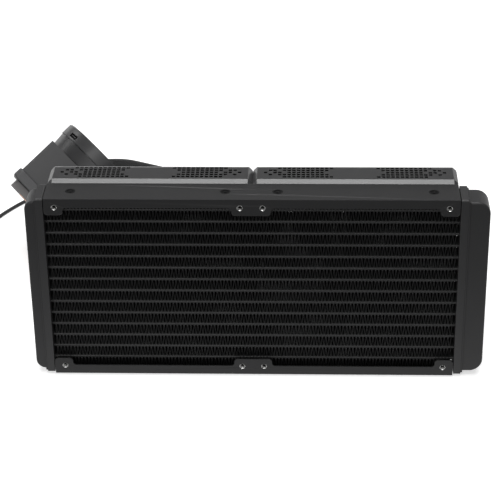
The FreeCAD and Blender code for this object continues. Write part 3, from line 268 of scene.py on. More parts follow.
def fin_rows():
    """The lowest and highest height of each row of fins."""
    span = 2 * (CORE_HALF - OUTER_ROW)
    tubes = [k * span / (TUBES - 1) - span / 2 for k in range(TUBES)]
    lows = [-CORE_HALF] + [height + TUBE_THICKNESS / 2 for height in tubes]
    highs = [height - TUBE_THICKNESS / 2 for height in tubes] + [CORE_HALF]
    return list(zip(lows, highs))


def fold_lines():
    """The zigzag line of the foil in each row of fins."""
    chance = random.Random(41)
    pitch = FIN_LENGTH / (FOLDS + 0.5)
    lines = []
    for low, high in fin_rows():
        shift = chance.uniform(0, FOLD_SHIFT)
        line = [(CREST - FIN_LENGTH / 2, low + FOIL / 2)]
        for fold in range(FOLDS):
            for place, height in ((0.25, high - FOIL / 2), (0.75, low + FOIL / 2)):
                wobble = chance.uniform(-FOLD_WOBBLE, FOLD_WOBBLE)
                line.append((-FIN_LENGTH / 2 + (fold + place + shift + wobble) * pitch, height))
        line.append((FIN_LENGTH / 2 - CREST, high - FOIL / 2))
        lines.append(line)
    return lines


def folded_fins():
    """One folded foil in each row, with solder beads on all its front crests and its lower back ones."""
    vertices = []
    faces = []
    for line in fold_lines():
        crests = []
        for x, height in line:
            crests += [(x - CREST / 2, height), (x + CREST / 2, height)]
        add_foil(vertices, faces, crests, FIN_FRONT, FIN_BACK)
        middle = (line[0][1] + line[1][1]) / 2
        for x, height in line[1:-1]:
            rise = math.copysign(1, height - middle)
            sunk = height + rise * BEAD_SINK
            add_bead(vertices, faces, (x, FIN_FRONT + BEAD_FROM_EDGE, sunk), -1)
            if rise < 0:
                add_bead(vertices, faces, (x, FIN_BACK - BEAD_FROM_EDGE, sunk), 1)
    piece = new_piece("folded_fins", vertices, faces, smooth=False)
    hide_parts("fin_strips")
    return piece


def add_bead(vertices, faces, centre, way):
    """A small rounded drop about the given point, its crown towards the front or the back."""
    first = len(vertices)
    for size, depth in BEAD_RINGS:
        for k in range(BEAD_SIDES):
            turn = math.tau * (k + 0.5) / BEAD_SIDES
            vertices.append(((centre[0] + BEAD[0] * size * math.cos(turn)) * MM,
                             (centre[1] + BEAD[1] * depth * way) * MM,
                             (centre[2] + BEAD[2] * size * math.sin(turn)) * MM))
    near = [first + k for k in range(BEAD_SIDES)]
    far = [k + BEAD_SIDES for k in near]
    if way > 0:
        near.reverse()
        far.reverse()
    for k in range(BEAD_SIDES):
        after = (k + 1) % BEAD_SIDES
        faces.append((near[k], near[after], far[after], far[k]))
    faces.append(tuple(reversed(near)))
    faces.append(tuple(far))


def add_foil(vertices, faces, line, front, back):
    """A folded sheet of even thickness along the line, from front to back."""
    first = len(vertices)
    for k, (x, z) in enumerate(line):
        before = line[max(k - 1, 0)]
        after = line[min(k + 1, len(line) - 1)]
        way = Vector((after[0] - before[0], after[1] - before[1])).normalized()
        across = Vector((-way.y, way.x)) * FOIL / 2
        for y in (front, back):
            vertices.append(((x + across.x) * MM, y * MM, (z + across.y) * MM))
            vertices.append(((x - across.x) * MM, y * MM, (z - across.y) * MM))
    for k in range(len(line) - 1):
        a = first + 4 * k
        b = a + 4
        faces += [(a, b, b + 2, a + 2), (a + 1, a + 3, b + 3, b + 1), (a, a + 1, b + 1, b),
                  (a + 2, b + 2, b + 3, a + 3)]
    last = first + 4 * (len(line) - 1)
    faces += [(first, first + 2, first + 3, first + 1), (last, last + 1, last + 3, last + 2)]


fins = folded_fins()


# Case screw holes: bare metal threads, and bright mouths cut through the paint

HOLE_PLACES = [(x, z) for x in (-132.1, -7.6, 7.6, 132.1) for z in (-62.25, 62.25)]
HOLE_SIDES = 32
THREAD_OUTER = 1.69
THREAD_MIDDLE = 1.52
THREAD_DEPTH = 0.11
THREAD_PITCH = 0.7
THREAD_REACH = (0.55, 3.35)
THREAD_ROWS = 34
MOUTH_RADIUS = 1.92
MOUTH_DEPTH = 1.3
MOUTH_LIFT = 0.3


def hole_ring(x, z, y, radius):
    """Points in metres on a circle about a hole's axis."""
    points = []
    for side in range(HOLE_SIDES):
        turn = math.tau * side / HOLE_SIDES
        points.append(((x + radius * math.cos(turn)) * MM, y * MM, (z + radius * math.sin(turn)) * MM))
    return points


def screw_threads():
    """A thin threaded lining in each hole."""
    start, end = THREAD_REACH
    vertices = []
    faces = []
    for x, z in HOLE_PLACES:
        first = len(vertices)
        for row in range(THREAD_ROWS + 1):
            y = start + (end - start) * row / THREAD_ROWS
            for side in range(HOLE_SIDES):
                phase = (y / THREAD_PITCH - side / HOLE_SIDES) % 1
                radius = THREAD_MIDDLE + THREAD_DEPTH * (abs(phase - 0.5) * 4 - 1)
                turn = math.tau * side / HOLE_SIDES
                vertices.append(((x + radius * math.cos(turn)) * MM, y * MM,
                                 (z + radius * math.sin(turn)) * MM))
        vertices += hole_ring(x, z, start, THREAD_OUTER) + hole_ring(x, z, end, THREAD_OUTER)
        top = first + THREAD_ROWS * HOLE_SIDES
        front = top + HOLE_SIDES
        back = front + HOLE_SIDES
        for side in range(HOLE_SIDES):
            after = (side + 1) % HOLE_SIDES
            for row in range(THREAD_ROWS):
                a = first + row * HOLE_SIDES
                faces.append((a + side, a + HOLE_SIDES + side, a + HOLE_SIDES + after, a + after))
            faces.append((front + side, front + after, back + after, back + side))
            faces.append((first + side, first + after, front + after, front + side))
            faces.append((top + side, back + side, back + after, top + after))
    return new_piece("screw_threads", vertices, faces)


threads = screw_threads()


def plain_mesh(name, vertices, faces):
    mesh = bpy.data.meshes.new(name)
    mesh.from_pydata(vertices, [], faces)
    return mesh


def cones_mesh(name, places):
    """Pointed cutters for the mouths of the screw holes."""
    vertices = []
    faces = []
    for x, z in places:
        first = len(vertices)
        second = first + HOLE_SIDES
        vertices += hole_ring(x, z, -MOUTH_LIFT, MOUTH_RADIUS + MOUTH_LIFT)
        vertices += hole_ring(x, z, MOUTH_DEPTH, MOUTH_RADIUS - MOUTH_DEPTH)
        for k in range(HOLE_SIDES):
            after = (k + 1) % HOLE_SIDES
            faces.append((first + k, second + k, second + after, first + after))
        faces.append(tuple(first + k for k in range(HOLE_SIDES)))
        faces.append(tuple(second + k for k in reversed(range(HOLE_SIDES))))
    return plain_mesh(name, vertices, faces)


def welded(node, material):
    """The node's mesh as one closed surface of the one material."""
    mesh = node.data.copy()
    shape = bmesh.new()
    shape.from_mesh(mesh)
    bmesh.ops.remove_doubles(shape, verts=shape.verts, dist=1e-6)
    shape.to_mesh(mesh)
    shape.free()
    mesh.materials.clear()
    mesh.materials.append(MATERIALS[material])
    return mesh


def carved(name, mesh, cutter_meshes, angle):
    """A piece made of the mesh with the other ones cut away, sharp where it bends more than the angle."""
    solid = bpy.data.objects.new(name + "_solid", mesh)
    items = [solid]
    for cutter_mesh in cutter_meshes:
        cutter = bpy.data.objects.new(name + "_cutter", cutter_mesh)
        items.append(cutter)
        modifier = solid.modifiers.new("recesses", "BOOLEAN")
        modifier.operation = "DIFFERENCE"
        modifier.solver = "EXACT"
        modifier.object = cutter
        modifier.material_mode = "TRANSFER"
    for item in items:
        scene.collection.objects.link(item)
    bpy.context.view_layer.update()
    made = bpy.data.meshes.new_from_object(solid.evaluated_get(bpy.context.evaluated_depsgraph_get()))
    for item in items:
        bpy.data.objects.remove(item)
    made.set_sharp_from_angle(angle=math.radians(angle))
    return add_piece(name, made)


def countersunk_plate(side, rise):
    """A side plate with its holes' mouths, in place of the plain one."""
    node = "radiator_" + side + "_plate"
    cutter = cones_mesh(side + "_mouths", [place for place in HOLE_PLACES if place[1] * rise > 0])
    cutter.materials.append(MATERIALS["bare_metal"])
    mesh = welded(frame["nodes"][node], "painted_metal")
    piece = carved(side + "_plate_with_mouths", mesh, [cutter], 30.0)
    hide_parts(node)
    return piece


# Fan frames: a field of small square recesses on each half of their four sides, and a slope at the back

DOT_START = 16.0
DOT_STEP = 3.21
DOT_ROW = 3.3
DOT_MIDDLE = 38.9
DOT_COLUMNS = 15
DOT_HALF = 1.2
DOT_DEPTH = 1.0
SIDE_HALF = 69.8
BACK_BEVEL = (2.6, 0.5)
WEDGE_HALF = 80
WEDGE_OUT = 2.0

# The rows that have a dot in the field's last columns, from the outermost one inwards

OUTER_END = ((0,), (-1, 1), (0, 1), (-1, 0, 2), (-2, -1, 1, 2))


def has_dot(column, row):
    """The field is full in its middle and thins out at both ends."""
    left = DOT_COLUMNS - 1 - column
    if column == 0:
        return abs(row) == 2
    if column == 1:
        return abs(row) >= 1
    return left >= len(OUTER_END) or row in OUTER_END[left]


def dot_places():
    places = []
    for column in range(DOT_COLUMNS):
        for row in range(-2, 3):
            if has_dot(column, row):
                for sign in (-1, 1):
                    places.append((sign * (DOT_START + column * DOT_STEP), DOT_MIDDLE + row * DOT_ROW))
    return places


def boxes_mesh(name, boxes):
    """Upright boxes, each from its lowest and highest corner."""
    vertices = []
    faces = []
    for low, high in boxes:
        first = len(vertices)
        for x in (low[0], high[0]):
            for y in (low[1], high[1]):
                for z in (low[2], high[2]):
                    vertices.append((x * MM, y * MM, z * MM))
        faces += [tuple(first + k for k in face) for face in
                  ((0, 1, 3, 2), (4, 6, 7, 5), (0, 4, 5, 1), (2, 3, 7, 6), (0, 2, 6, 4), (1, 5, 7, 3))]
    return plain_mesh(name, vertices, faces)


def wedges_mesh(name, centre, upright, back):
    """Two long wedges that slope the frame's outer faces off towards its back edge."""
    vertices = []
    faces = []
    depth, drop = BACK_BEVEL
    for sign in (-1, 1):
        first = len(vertices)
        for end in (-WEDGE_HALF, WEDGE_HALF):
            for y, out in ((back - depth, 0.0), (back + depth, -2 * drop), (back + depth, WEDGE_OUT),
                           (back - depth, WEDGE_OUT)):
                reach = sign * (SIDE_HALF + out)
                vertices.append(((centre + (end if upright else reach)) * MM, y * MM,
                                 (reach if upright else end) * MM))
        ring = [first + k for k in range(4)]
        faces.append(tuple(ring))
        faces.append(tuple(k + 4 for k in reversed(ring)))
        for k in range(4):
            after = ring[(k + 1) % 4]
            faces.append((ring[k], ring[k] + 4, after + 4, after))
    mesh = plain_mesh(name, vertices, faces)
    shape = bmesh.new()
    shape.from_mesh(mesh)
    bmesh.ops.recalc_face_normals(shape, faces=shape.faces)
    shape.to_mesh(mesh)
    shape.free()
    mesh.materials.append(MATERIALS["fan_plastic"])
    return mesh


def dotted_frame(side, centre):
    """A fan frame with its recesses and slopes, in place of the plain one."""
    node = frame["nodes"][side + "_fan_frame"]
    back = max(vertex.co.y for vertex in node.data.vertices) / MM
    wedges = [wedges_mesh(side + "_wedges", centre, upright, back) for upright in (True, False)]
    boxes = []
    for along, y in dot_places():
        for sign in (-1, 1):
            near, far = sorted((sign * (SIDE_HALF - DOT_DEPTH), sign * (SIDE_HALF + 1)))
            lows = (along - DOT_HALF, y - DOT_HALF)
            highs = (along + DOT_HALF, y + DOT_HALF)
            boxes.append(((centre + lows[0], lows[1], near), (centre + highs[0], highs[1], far)))
            boxes.append(((centre + near, lows[1], lows[0]), (centre + far, highs[1], highs[0])))
    cutter = boxes_mesh(side + "_dots", boxes)
    # The recesses take a near-black finish: painted shade on their floors and walls.
    cutter.materials.append(MATERIALS["recess_painted_shade"])
    piece = carved(side + "_fan_frame_with_dots", welded(node, "fan_plastic"), [cutter] + wedges,
                   8.0)
    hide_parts(side + "_fan_frame")
    return piece


# Service socket in the head's cap, in the head's own axes

HEAD_PLACE = (-154.7, 158.8, -19.76516)
HEAD_TURNS = ((-18.3, "Z"), (43.97, "Y"), (-38.88, "X"), (217.3, "Z"))
SOCKET_LOW = (38.3, -4.5, 43.65)
SOCKET_HIGH = (39.5, 4.5, 46.85)
SOCKET_WALL = 0.15
SOCKET_SOFTENING = 0.05
TONGUE_SHARE = 0.62
TONGUE_GAP = 1.15
TONGUE_SETBACK = 0.1


def service_socket():
    """A near-black liner of painted shade in the small socket in the cap's edge, and the tongue inside it.
    """
    x0, y0, z0 = SOCKET_LOW
    x1, y1, z1 = SOCKET_HIGH
    wall = SOCKET_WALL
    boxes = [((x0, y0, z0), (x0 + wall, y1, z1)),
             ((x0 + wall, y0, z0), (x1, y1, z0 + wall)),
             ((x0 + wall, y0, z1 - wall), (x1, y1, z1)),
             ((x0 + wall, y0, z0 + wall), (x1, y0 + wall, z1 - wall)),
             ((x0 + wall, y1 - wall, z0 + wall), (x1, y1, z1 - wall)),
             ((x0 + wall, y0 * TONGUE_SHARE, z0 + TONGUE_GAP),
              (x1 - TONGUE_SETBACK, y1 * TONGUE_SHARE, z1 - TONGUE_GAP))]
    mesh = boxes_mesh("service_socket", boxes)
    mesh.transform(placement([value * MM for value in HEAD_PLACE], HEAD_TURNS))
    mesh.materials.append(MATERIALS["recess_painted_shade"])
    mesh.materials.append(MATERIALS["screw_steel"])
    tongue_faces = mesh.polygons[-6:]
    for face in tongue_faces:
        face.material_index = 1
    piece = add_piece("service_socket", mesh)
    soften = piece.modifiers.new("soft_edges", "BEVEL")
    soften.width = SOCKET_SOFTENING * MM
    soften.segments = 2
    return piece


# Turned bands of the hoses and the cable; each band is its start along the piece and its width or radius

SLEEVE_RADIUS = 7.3
SLEEVE_BANDS = ((0.0, 2.2), (5.2, 1.3), (8.4, 1.3), (11.6, 1.3), (15.8, 2.2))
HEAD_SLEEVE_LEAD = -2.0
PORT_SLEEVE_LEAD = -5.0
BAND_SINK = 0.3
BAND_PROUD = 0.35
BAND_SOFTENING = 0.2
GROMMET_RIBS = ((1.2, 2.55), (3.1, 2.85), (5.0, 3.15))
RIB_WIDTH = 0.9
RIB_DEPTH = 0.8


def turned_band(vertices, faces, centre, axis, profile, sides=40):
    """A closed ring about the axis; the profile holds places along the axis and radii."""
    axis = Vector(axis).normalized()
    across = axis.orthogonal().normalized()
    other = axis.cross(across)
    first = len(vertices)
    count = len(profile)
    for side in range(sides):
        angle = math.tau * side / sides
        out = across * math.cos(angle) + other * math.sin(angle)
        for along, radius in profile:
            vertices.append((Vector(centre) + axis * along + out * radius) * MM)
    close_rings(faces, first, sides, count)


def close_rings(faces, first, sides, count):
    """The faces of a ring of closed profiles, each of the given count of points."""
    for side in range(sides):
        this = first + side * count
        after = first + ((side + 1) % sides) * count
        for k in range(count):
            b = (k + 1) % count
            faces.append((this + k, this + b, after + b, after + k))


def band_profile(start, width, inner, outer):
    end = start + width
    soft = BAND_SOFTENING
    return [(start, inner), (start, outer - soft), (start + soft, outer), (end - soft, outer),
            (end, outer - soft), (end, inner)]


def sleeve_bands():
    """The rolled ends and the crimped rings of the four hose sleeves."""
    inner = SLEEVE_RADIUS - BAND_SINK
    outer = SLEEVE_RADIUS + BAND_PROUD
    vertices = []
    faces = []
    for route in (UPPER_HOSE_ROUTE, LOWER_HOSE_ROUTE):
        for end, inner_point, lead in ((route[0], route[1], HEAD_SLEEVE_LEAD),
                                       (route[-1], route[-2], PORT_SLEEVE_LEAD)):
            axis = Vector(inner_point) - Vector(end)
            for start, width in SLEEVE_BANDS:
                turned_band(vertices, faces, end, axis, band_profile(lead + start, width, inner, outer))
    return new_piece("sleeve_bands", vertices, faces)


def grommet_ribs():
    """Three ribs round the tapered sleeve where the cable leaves the head."""
    tip = Vector(CABLE_ROUTE[0])
    axis = tip - Vector(CABLE_ROUTE[1])
    vertices = []
    faces = []
    for back, radius in GROMMET_RIBS:
        profile = band_profile(back, RIB_WIDTH, radius - RIB_DEPTH, radius)
        turned_band(vertices, faces, tip, axis, profile, sides=24)
    return new_piece("grommet_ribs", vertices, faces)


# Coil tie: each row is its place across the band and its height over the turns

TIE_ANGLE = 118
TIE_SIDES = 48
TIE_REACH = 3.18
TIE_POWER = 6
TIE_ROWS = ((-2.2, 0.0), (-2.0, 0.35), (2.0, 0.35), (2.2, 0.0))


def coil_tie():
    """A flat rubber band round the coil's turns, at the side away from the plug."""
    angle = math.radians(TIE_ANGLE)
    out = Vector((math.cos(angle), math.sin(angle), 0))
    way = Vector((-math.sin(angle), math.cos(angle), 0))
    centre = Vector((COIL_CENTRE[0], COIL_CENTRE[1], TABLE_HEIGHT + CABLE_DIAMETER))
    middle = centre + out * (COIL_OUTER - CABLE_DIAMETER / 2)
    vertices = []
    faces = []
    for side in range(TIE_SIDES):
        turn = math.tau * side / TIE_SIDES
        x = math.cos(turn)
        z = math.sin(turn)
        inner = TIE_REACH / (abs(x) ** TIE_POWER + abs(z) ** TIE_POWER) ** (1 / TIE_POWER)
        for row, thick in TIE_ROWS:
            reach = inner + thick
            lift = max(reach * z, -CABLE_DIAMETER)
            vertices.append((middle + out * reach * x + Vector((0, 0, lift)) + way * row) * MM)
    close_rings(faces, 0, TIE_SIDES, len(TIE_ROWS))
    return new_piece("coil_tie", vertices, faces)


# Plug: its corners, its keying ribs and latch, the openings for its pins and the windows of their springs

PLUG_LOW = (-243.0, 193.5, -63.8)
PLUG_HIGH = (-231.0, 201.5, -59.4)
PLUG_SOFTENING = 0.25
PLUG_INSET = 0.5
KEY_NEAR = 0.9
KEY_FAR = 1.9
KEY_SHORT = 3.0
KEY_HEIGHT = 0.8
LATCH_START = 2.0
LATCH_INSET = 1.2
PIN_PITCH = 2.54
PIN_HALF = 0.75
PIN_DEPTH = 5
WINDOW_REACH = (6.2, 8.6)
WINDOW_HALF = 0.6
WINDOW_DEPTH = 1.4
PAST_FACE = 1


def three_pin_plug():
    """The cable's plug: a housing with three openings, two keying ribs and a latch, and spring windows."""
    shape = bmesh.new()
    low = Vector(PLUG_LOW)
    high = Vector(PLUG_HIGH)
    key_end = high.x - KEY_SHORT
    key_top = low.z + KEY_HEIGHT
    parts = [((low.x, low.y, low.z + PLUG_INSET), (high.x, high.y, high.z - PLUG_INSET)),
             ((low.x, low.y + KEY_NEAR, low.z), (key_end, low.y + KEY_FAR, key_top)),
             ((low.x, high.y - KEY_FAR, low.z), (key_end, high.y - KEY_NEAR, key_top)),
             ((low.x + LATCH_START, low.y + LATCH_INSET, high.z - KEY_HEIGHT),
              (high.x, high.y - LATCH_INSET, high.z))]
    for one, other in parts:
        made = bmesh.ops.create_cube(shape, size=1.0)
        for vertex in made["verts"]:
            vertex.co = Vector([one[k] + (other[k] - one[k]) * (vertex.co[k] + 0.5) for k in range(3)]) * MM
        edges = list({edge for vertex in made["verts"] for edge in vertex.link_edges})
        bmesh.ops.bevel(shape, geom=edges, offset=PLUG_SOFTENING * MM, segments=2, affect="EDGES")
    mesh = bpy.data.meshes.new("three_pin_plug")
    shape.to_mesh(mesh)
    shape.free()
    mesh.materials.append(MATERIALS["inner_plastic"])
    middle_y = (low.y + high.y) / 2
    middle_z = (low.z + high.z) / 2
    near, far = WINDOW_REACH
    cuts = []
    for pin in (-1, 0, 1):
        y = middle_y + pin * PIN_PITCH
        cuts.append(((low.x - PAST_FACE, y - PIN_HALF, middle_z - PIN_HALF),
                     (low.x + PIN_DEPTH, y + PIN_HALF, middle_z + PIN_HALF)))
        cuts.append(((low.x + near, y - WINDOW_HALF, high.z - WINDOW_DEPTH),
                     (low.x + far, y + WINDOW_HALF, high.z + PAST_FACE)))
    piece = carved("three_pin_plug", mesh, [boxes_mesh("plug_openings", cuts)], 30.0)
    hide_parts("cable_connector")
    return piece


# Floor and lamps; each lamp is its name, its place and size in metres and its power in watts

FLOOR_HALF = 6.0
LAMPS = (
    ("overhead softbox", (0.05, 0.19, 1.3), (1.2, 0.55), 14.0),
    ("front strip", (0.0, -0.61, 1.25), (1.2, 0.3), 6.0),
    ("left softbox", (-1.3, 1.0, 1.1), (0.6, 0.4), 3.2),
    ("front fill", (-0.5, -2.2, 0.9), (1.6, 1.0), 20.0),
    ("back strip", (-0.3, 1.7, 0.22), (2.8, 0.3), 4.2),
)


def place_floor():
    corners = [(x * FLOOR_HALF, y * FLOOR_HALF, TABLE_HEIGHT * MM)
               for x, y in ((-1, -1), (1, -1), (1, 1), (-1, 1))]
    floor = bpy.data.objects.new("floor", plain_mesh("floor", corners, [(0, 1, 2, 3)]))
    scene.collection.objects.link(floor)
    return floor


def place_lamp(name, place, size, power):
    """A rectangular lamp that looks at the middle of the radiator's front."""
    data = bpy.data.lights.new(name, "AREA")
    data.shape = "RECTANGLE"
    data.size, data.size_y = size
    data.energy = power
    light = bpy.data.objects.new(name, data)
    scene.collection.objects.link(light)
    way = Vector((0.0, 0.0, 0.0)) - Vector(place)
    light.matrix_world = Matrix.Translation(place) @ way.to_track_quat("-Z", "Y").to_matrix().to_4x4()


floor = place_floor()
for lamp in LAMPS:
    place_lamp(*lamp)


# Materials

class Tree:
    """Short names for laying the nodes of one node tree."""

    def __init__(self, tree):
        self.tree = tree

    def set(self, socket, value):
        if hasattr(value, "is_linked"):
            self.tree.links.new(value, socket)
        elif value is not None:
            socket.default_value = value

    def node(self, kind, inputs=None, **settings):
        made = self.tree.nodes.new(kind)
        for name, value in settings.items():
            setattr(made, name, value)
        for name, value in (inputs or {}).items():
            self.set(made.inputs[name], value)
        return made

    def math(self, operation, a, b=None, c=None):
        made = self.node("ShaderNodeMath", operation=operation)
        for socket, value in zip(made.inputs, (a, b, c)):
            self.set(socket, value)
        return made.outputs[0]

    def spread(self, value, low, high, to_low=0.0, to_high=1.0):
        made = self.node("ShaderNodeMapRange", {"Value": value, "From Min": low, "From Max": high,
                                                "To Min": to_low, "To Max": to_high})
        return made.outputs["Result"]

    def object_place(self):
        return self.node("ShaderNodeTexCoord").outputs["Object"]

    def mix(self, share, a, b):
        """A mix of two colours, which the node takes in its sockets 6 and 7."""
        made = self.node("ShaderNodeMix", data_type="RGBA")
        self.set(made.inputs["Factor"], share)
        self.set(made.inputs[6], a)
        self.set(made.inputs[7], b)
        return made.outputs[2]


def shader_group(name, inputs, outputs):
    group = bpy.data.node_groups.new(name, "ShaderNodeTree")
    for label, kind, value in inputs:
        socket = group.interface.new_socket(name=label, in_out="INPUT", socket_type=kind)
        if value is not None:
            socket.default_value = value
    for label, kind in outputs:
        group.interface.new_socket(name=label, in_out="OUTPUT", socket_type=kind)
    tree = Tree(group)
    return group, tree, tree.node("NodeGroupInput"), tree.node("NodeGroupOutput")


FLOAT = "NodeSocketFloat"
VECTOR = "NodeSocketVector"


def fine_grain_group():
    """Moulded or coated grain: small even bumps with a little unevenness of tone over a wide span."""
    group, tree, given, out = shader_group(
        "fine_grain", [("Size", FLOAT, 0.0004), ("Blotch Size", FLOAT, 0.02), ("Spread", FLOAT, 0.1)],
        [("Height", FLOAT), ("Tone", FLOAT)])
    place = tree.object_place()
    scale = tree.math("DIVIDE", 1.0, given.outputs["Size"])
    bumps = tree.node("ShaderNodeTexNoise",
                      {"Vector": place, "Scale": scale, "Detail": 3.0, "Roughness": 0.6})
    cells = tree.node("ShaderNodeTexVoronoi", {"Vector": place, "Scale": scale})
    wide_scale = tree.math("DIVIDE", 1.0, given.outputs["Blotch Size"])
    wide = tree.node("ShaderNodeTexNoise", {"Vector": place, "Detail": 2.0, "Scale": wide_scale})
    height = tree.math("ADD", tree.math("MULTIPLY", bumps.outputs["Fac"], 0.7),
                       tree.math("MULTIPLY", cells.outputs["Distance"], 0.4))
    both = tree.math("ADD", tree.math("SUBTRACT", bumps.outputs["Fac"], 0.5),
                     tree.math("MULTIPLY", tree.math("SUBTRACT", wide.outputs["Fac"], 0.5), 1.4))
    tone = tree.math("ADD", 1.0, tree.math("MULTIPLY", both, given.outputs["Spread"]))
    tree.set(out.inputs["Height"], height)
    tree.set(out.inputs["Tone"], tone)
    return group


def soft_edge_group():
    """Slightly rounded edges, and a mask of the line along them, which the finishes lighten, partly as wear
    and partly as a painted edge highlight.
    """
    group, tree, given, out = shader_group(
        "soft_edge", [("Radius", FLOAT, 0.0003)], [("Normal", VECTOR), ("Edge", FLOAT)])
    rounded = tree.node("ShaderNodeBevel", {"Radius": given.outputs["Radius"]}, samples=4)
    flat = tree.node("ShaderNodeNewGeometry")
    dot = tree.node("ShaderNodeVectorMath", {0: rounded.outputs["Normal"], 1: flat.outputs["Normal"]},
                    operation="DOT_PRODUCT")
    tree.set(out.inputs["Normal"], rounded.outputs["Normal"])
    tree.set(out.inputs["Edge"], tree.spread(dot.outputs["Value"], 0.98, 0.8))
    return group


def braid_group():
    """Flat strands woven over and under each other, from the piece's own run in metres."""
    group, tree, given, out = shader_group(
        "braid", [("Around", FLOAT, 0.0016), ("Along", FLOAT, 0.0022)],
        [("Height", FLOAT), ("Tone", FLOAT)])
    place = tree.node("ShaderNodeSeparateXYZ", {0: tree.node("ShaderNodeUVMap", uv_map="along").outputs[0]})
    around = tree.math("DIVIDE", place.outputs["X"], given.outputs["Around"])
    along = tree.math("DIVIDE", place.outputs["Y"], given.outputs["Along"])
    one = tree.math("ADD", around, along)
    other = tree.math("SUBTRACT", around, along)
    squares = tree.math("ADD", tree.math("FLOOR", one), tree.math("FLOOR", other))
    odd = tree.math("FLOORED_MODULO", squares, 2.0)

    def strand(lengthwise, crosswise):
        across = tree.math("ABSOLUTE", tree.math("MULTIPLY_ADD", tree.math("FRACT", crosswise), 2.0, -1.0))
        flat_top = tree.math("SUBTRACT", 1.0, tree.math("POWER", across, 4.0))
        rise = tree.math("SINE", tree.math("MULTIPLY", tree.math("FRACT", lengthwise), math.pi))
        fibres = tree.math("SINE", tree.math("MULTIPLY", crosswise, 10 * math.pi))
        return tree.math("MULTIPLY_ADD", fibres, 0.06,
                         tree.math("MULTIPLY", flat_top, tree.math("MULTIPLY_ADD", rise, 0.5, 0.5)))

    first = strand(one, other)
    second = strand(other, one)
    height = tree.math("ADD", tree.math("MULTIPLY", first, tree.math("SUBTRACT", 1.0, odd)),
                       tree.math("MULTIPLY", second, odd))
    tree.set(out.inputs["Height"], height)
    # The tone follows the height: painted shade where the strands sink under each other.
    tree.set(out.inputs["Tone"], tree.spread(height, 0.2, 1.0, 0.35, 1.15))
    return group


def brushed_group():
    """Fine lines left by machining, all one way, with a few deeper ones."""
    group, tree, given, out = shader_group(
        "brushed", [("Turn", VECTOR, None), ("Pitch", FLOAT, 0.0003)], [("Height", FLOAT), ("Tone", FLOAT)])
    place = tree.object_place()
    turned = tree.node("ShaderNodeVectorRotate", {"Vector": place, "Rotation": given.outputs["Turn"]},
                       rotation_type="EULER_XYZ")
    stretched = tree.node("ShaderNodeVectorMath", {0: turned.outputs[0], 1: (0.03, 1.0, 1.0)},
                          operation="MULTIPLY")
    scale = tree.math("DIVIDE", 1.0, given.outputs["Pitch"])
    lines = tree.node("ShaderNodeTexNoise", {"Vector": stretched.outputs[0], "Scale": scale, "Detail": 3.0})
    tree.set(out.inputs["Height"], lines.outputs["Fac"])
    tree.set(out.inputs["Tone"], tree.spread(lines.outputs["Fac"], 0.3, 0.7, 0.85, 1.12))
    return group


FINE_GRAIN = fine_grain_group()
SOFT_EDGE = soft_edge_group()
BRAID = braid_group()
BRUSHED = brushed_group()
TONE_SPREAD = 0.12


def started(name, roughness=None, metallic=0.0, specular=0.5):
    """A new material with its tree and shader."""
    made = bpy.data.materials.new(name)
    made.use_nodes = True
    shader = made.node_tree.nodes["Principled BSDF"]
    shader.inputs["Metallic"].default_value = metallic
    shader.inputs["Specular IOR Level"].default_value = specular
    if roughness is not None:
        shader.inputs["Roughness"].default_value = roughness
    return made, Tree(made.node_tree), shader


def toned(tree, colour, tone):
    scaled = tree.node("ShaderNodeVectorMath", {"Scale": tone}, operation="SCALE")
    scaled.inputs[0].default_value = colour
    return scaled.outputs[0]


def bumped(tree, shader, height, strength, distance, normal=None):
    bump = tree.node("ShaderNodeBump", {"Height": height, "Strength": strength, "Distance": distance})
    tree.set(bump.inputs["Normal"], normal)
    tree.set(shader.inputs["Normal"], bump.outputs["Normal"])


def grained(name, colour, roughness, size=0.0004, depth=0.1, metallic=0.0, specular=0.5, edge=0.0,
            wear_and_highlight=0.35):
    """A satin or matt finish with a fine grain, and edges softened by the given radius and lightened along
    them, partly as wear and partly as a painted highlight.
    """
    made, tree, shader = started(name, metallic=metallic, specular=specular)
    grain = tree.node("ShaderNodeGroup", {"Size": size, "Spread": TONE_SPREAD}, node_tree=FINE_GRAIN)
    tone = grain.outputs["Tone"]
    normal = None
    if edge:
        soft = tree.node("ShaderNodeGroup", {"Radius": edge}, node_tree=SOFT_EDGE)
        normal = soft.outputs["Normal"]
        # The edge line is lightened: partly wear, partly a painted edge highlight.
        tone = tree.math("MULTIPLY", tone, tree.math("MULTIPLY_ADD", soft.outputs["Edge"], wear_and_highlight, 1.0))
    tree.set(shader.inputs["Base Color"], toned(tree, colour, tone))
    rough = tree.math("MULTIPLY", roughness, tree.spread(grain.outputs["Tone"], 0.9, 1.1, 1.08, 0.92))
    tree.set(shader.inputs["Roughness"], rough)
    bumped(tree, shader, grain.outputs["Height"], depth, size, normal)
    return made


def grey(value, warm=0.0):
    return (value * (1 + warm), value, value * (1 + 0.03 - warm))


def woven(name, colour, around, along, depth, roughness, specular):
    """A braided sleeve with slightly glossy strands, painted darker where they sink under each other, as
    shade.
    """
    made, tree, shader = started(name, roughness, specular=specular)
    braid = tree.node("ShaderNodeGroup", {"Around": around, "Along": along}, node_tree=BRAID)
    grain = tree.node("ShaderNodeGroup", {"Size": 0.0003, "Spread": 0.3}, node_tree=FINE_GRAIN)
    tone = tree.math("MULTIPLY", braid.outputs["Tone"], grain.outputs["Tone"])
    tree.set(shader.inputs["Base Color"], toned(tree, colour, tone))
    bumped(tree, shader, braid.outputs["Height"], 0.8, depth)
    return made


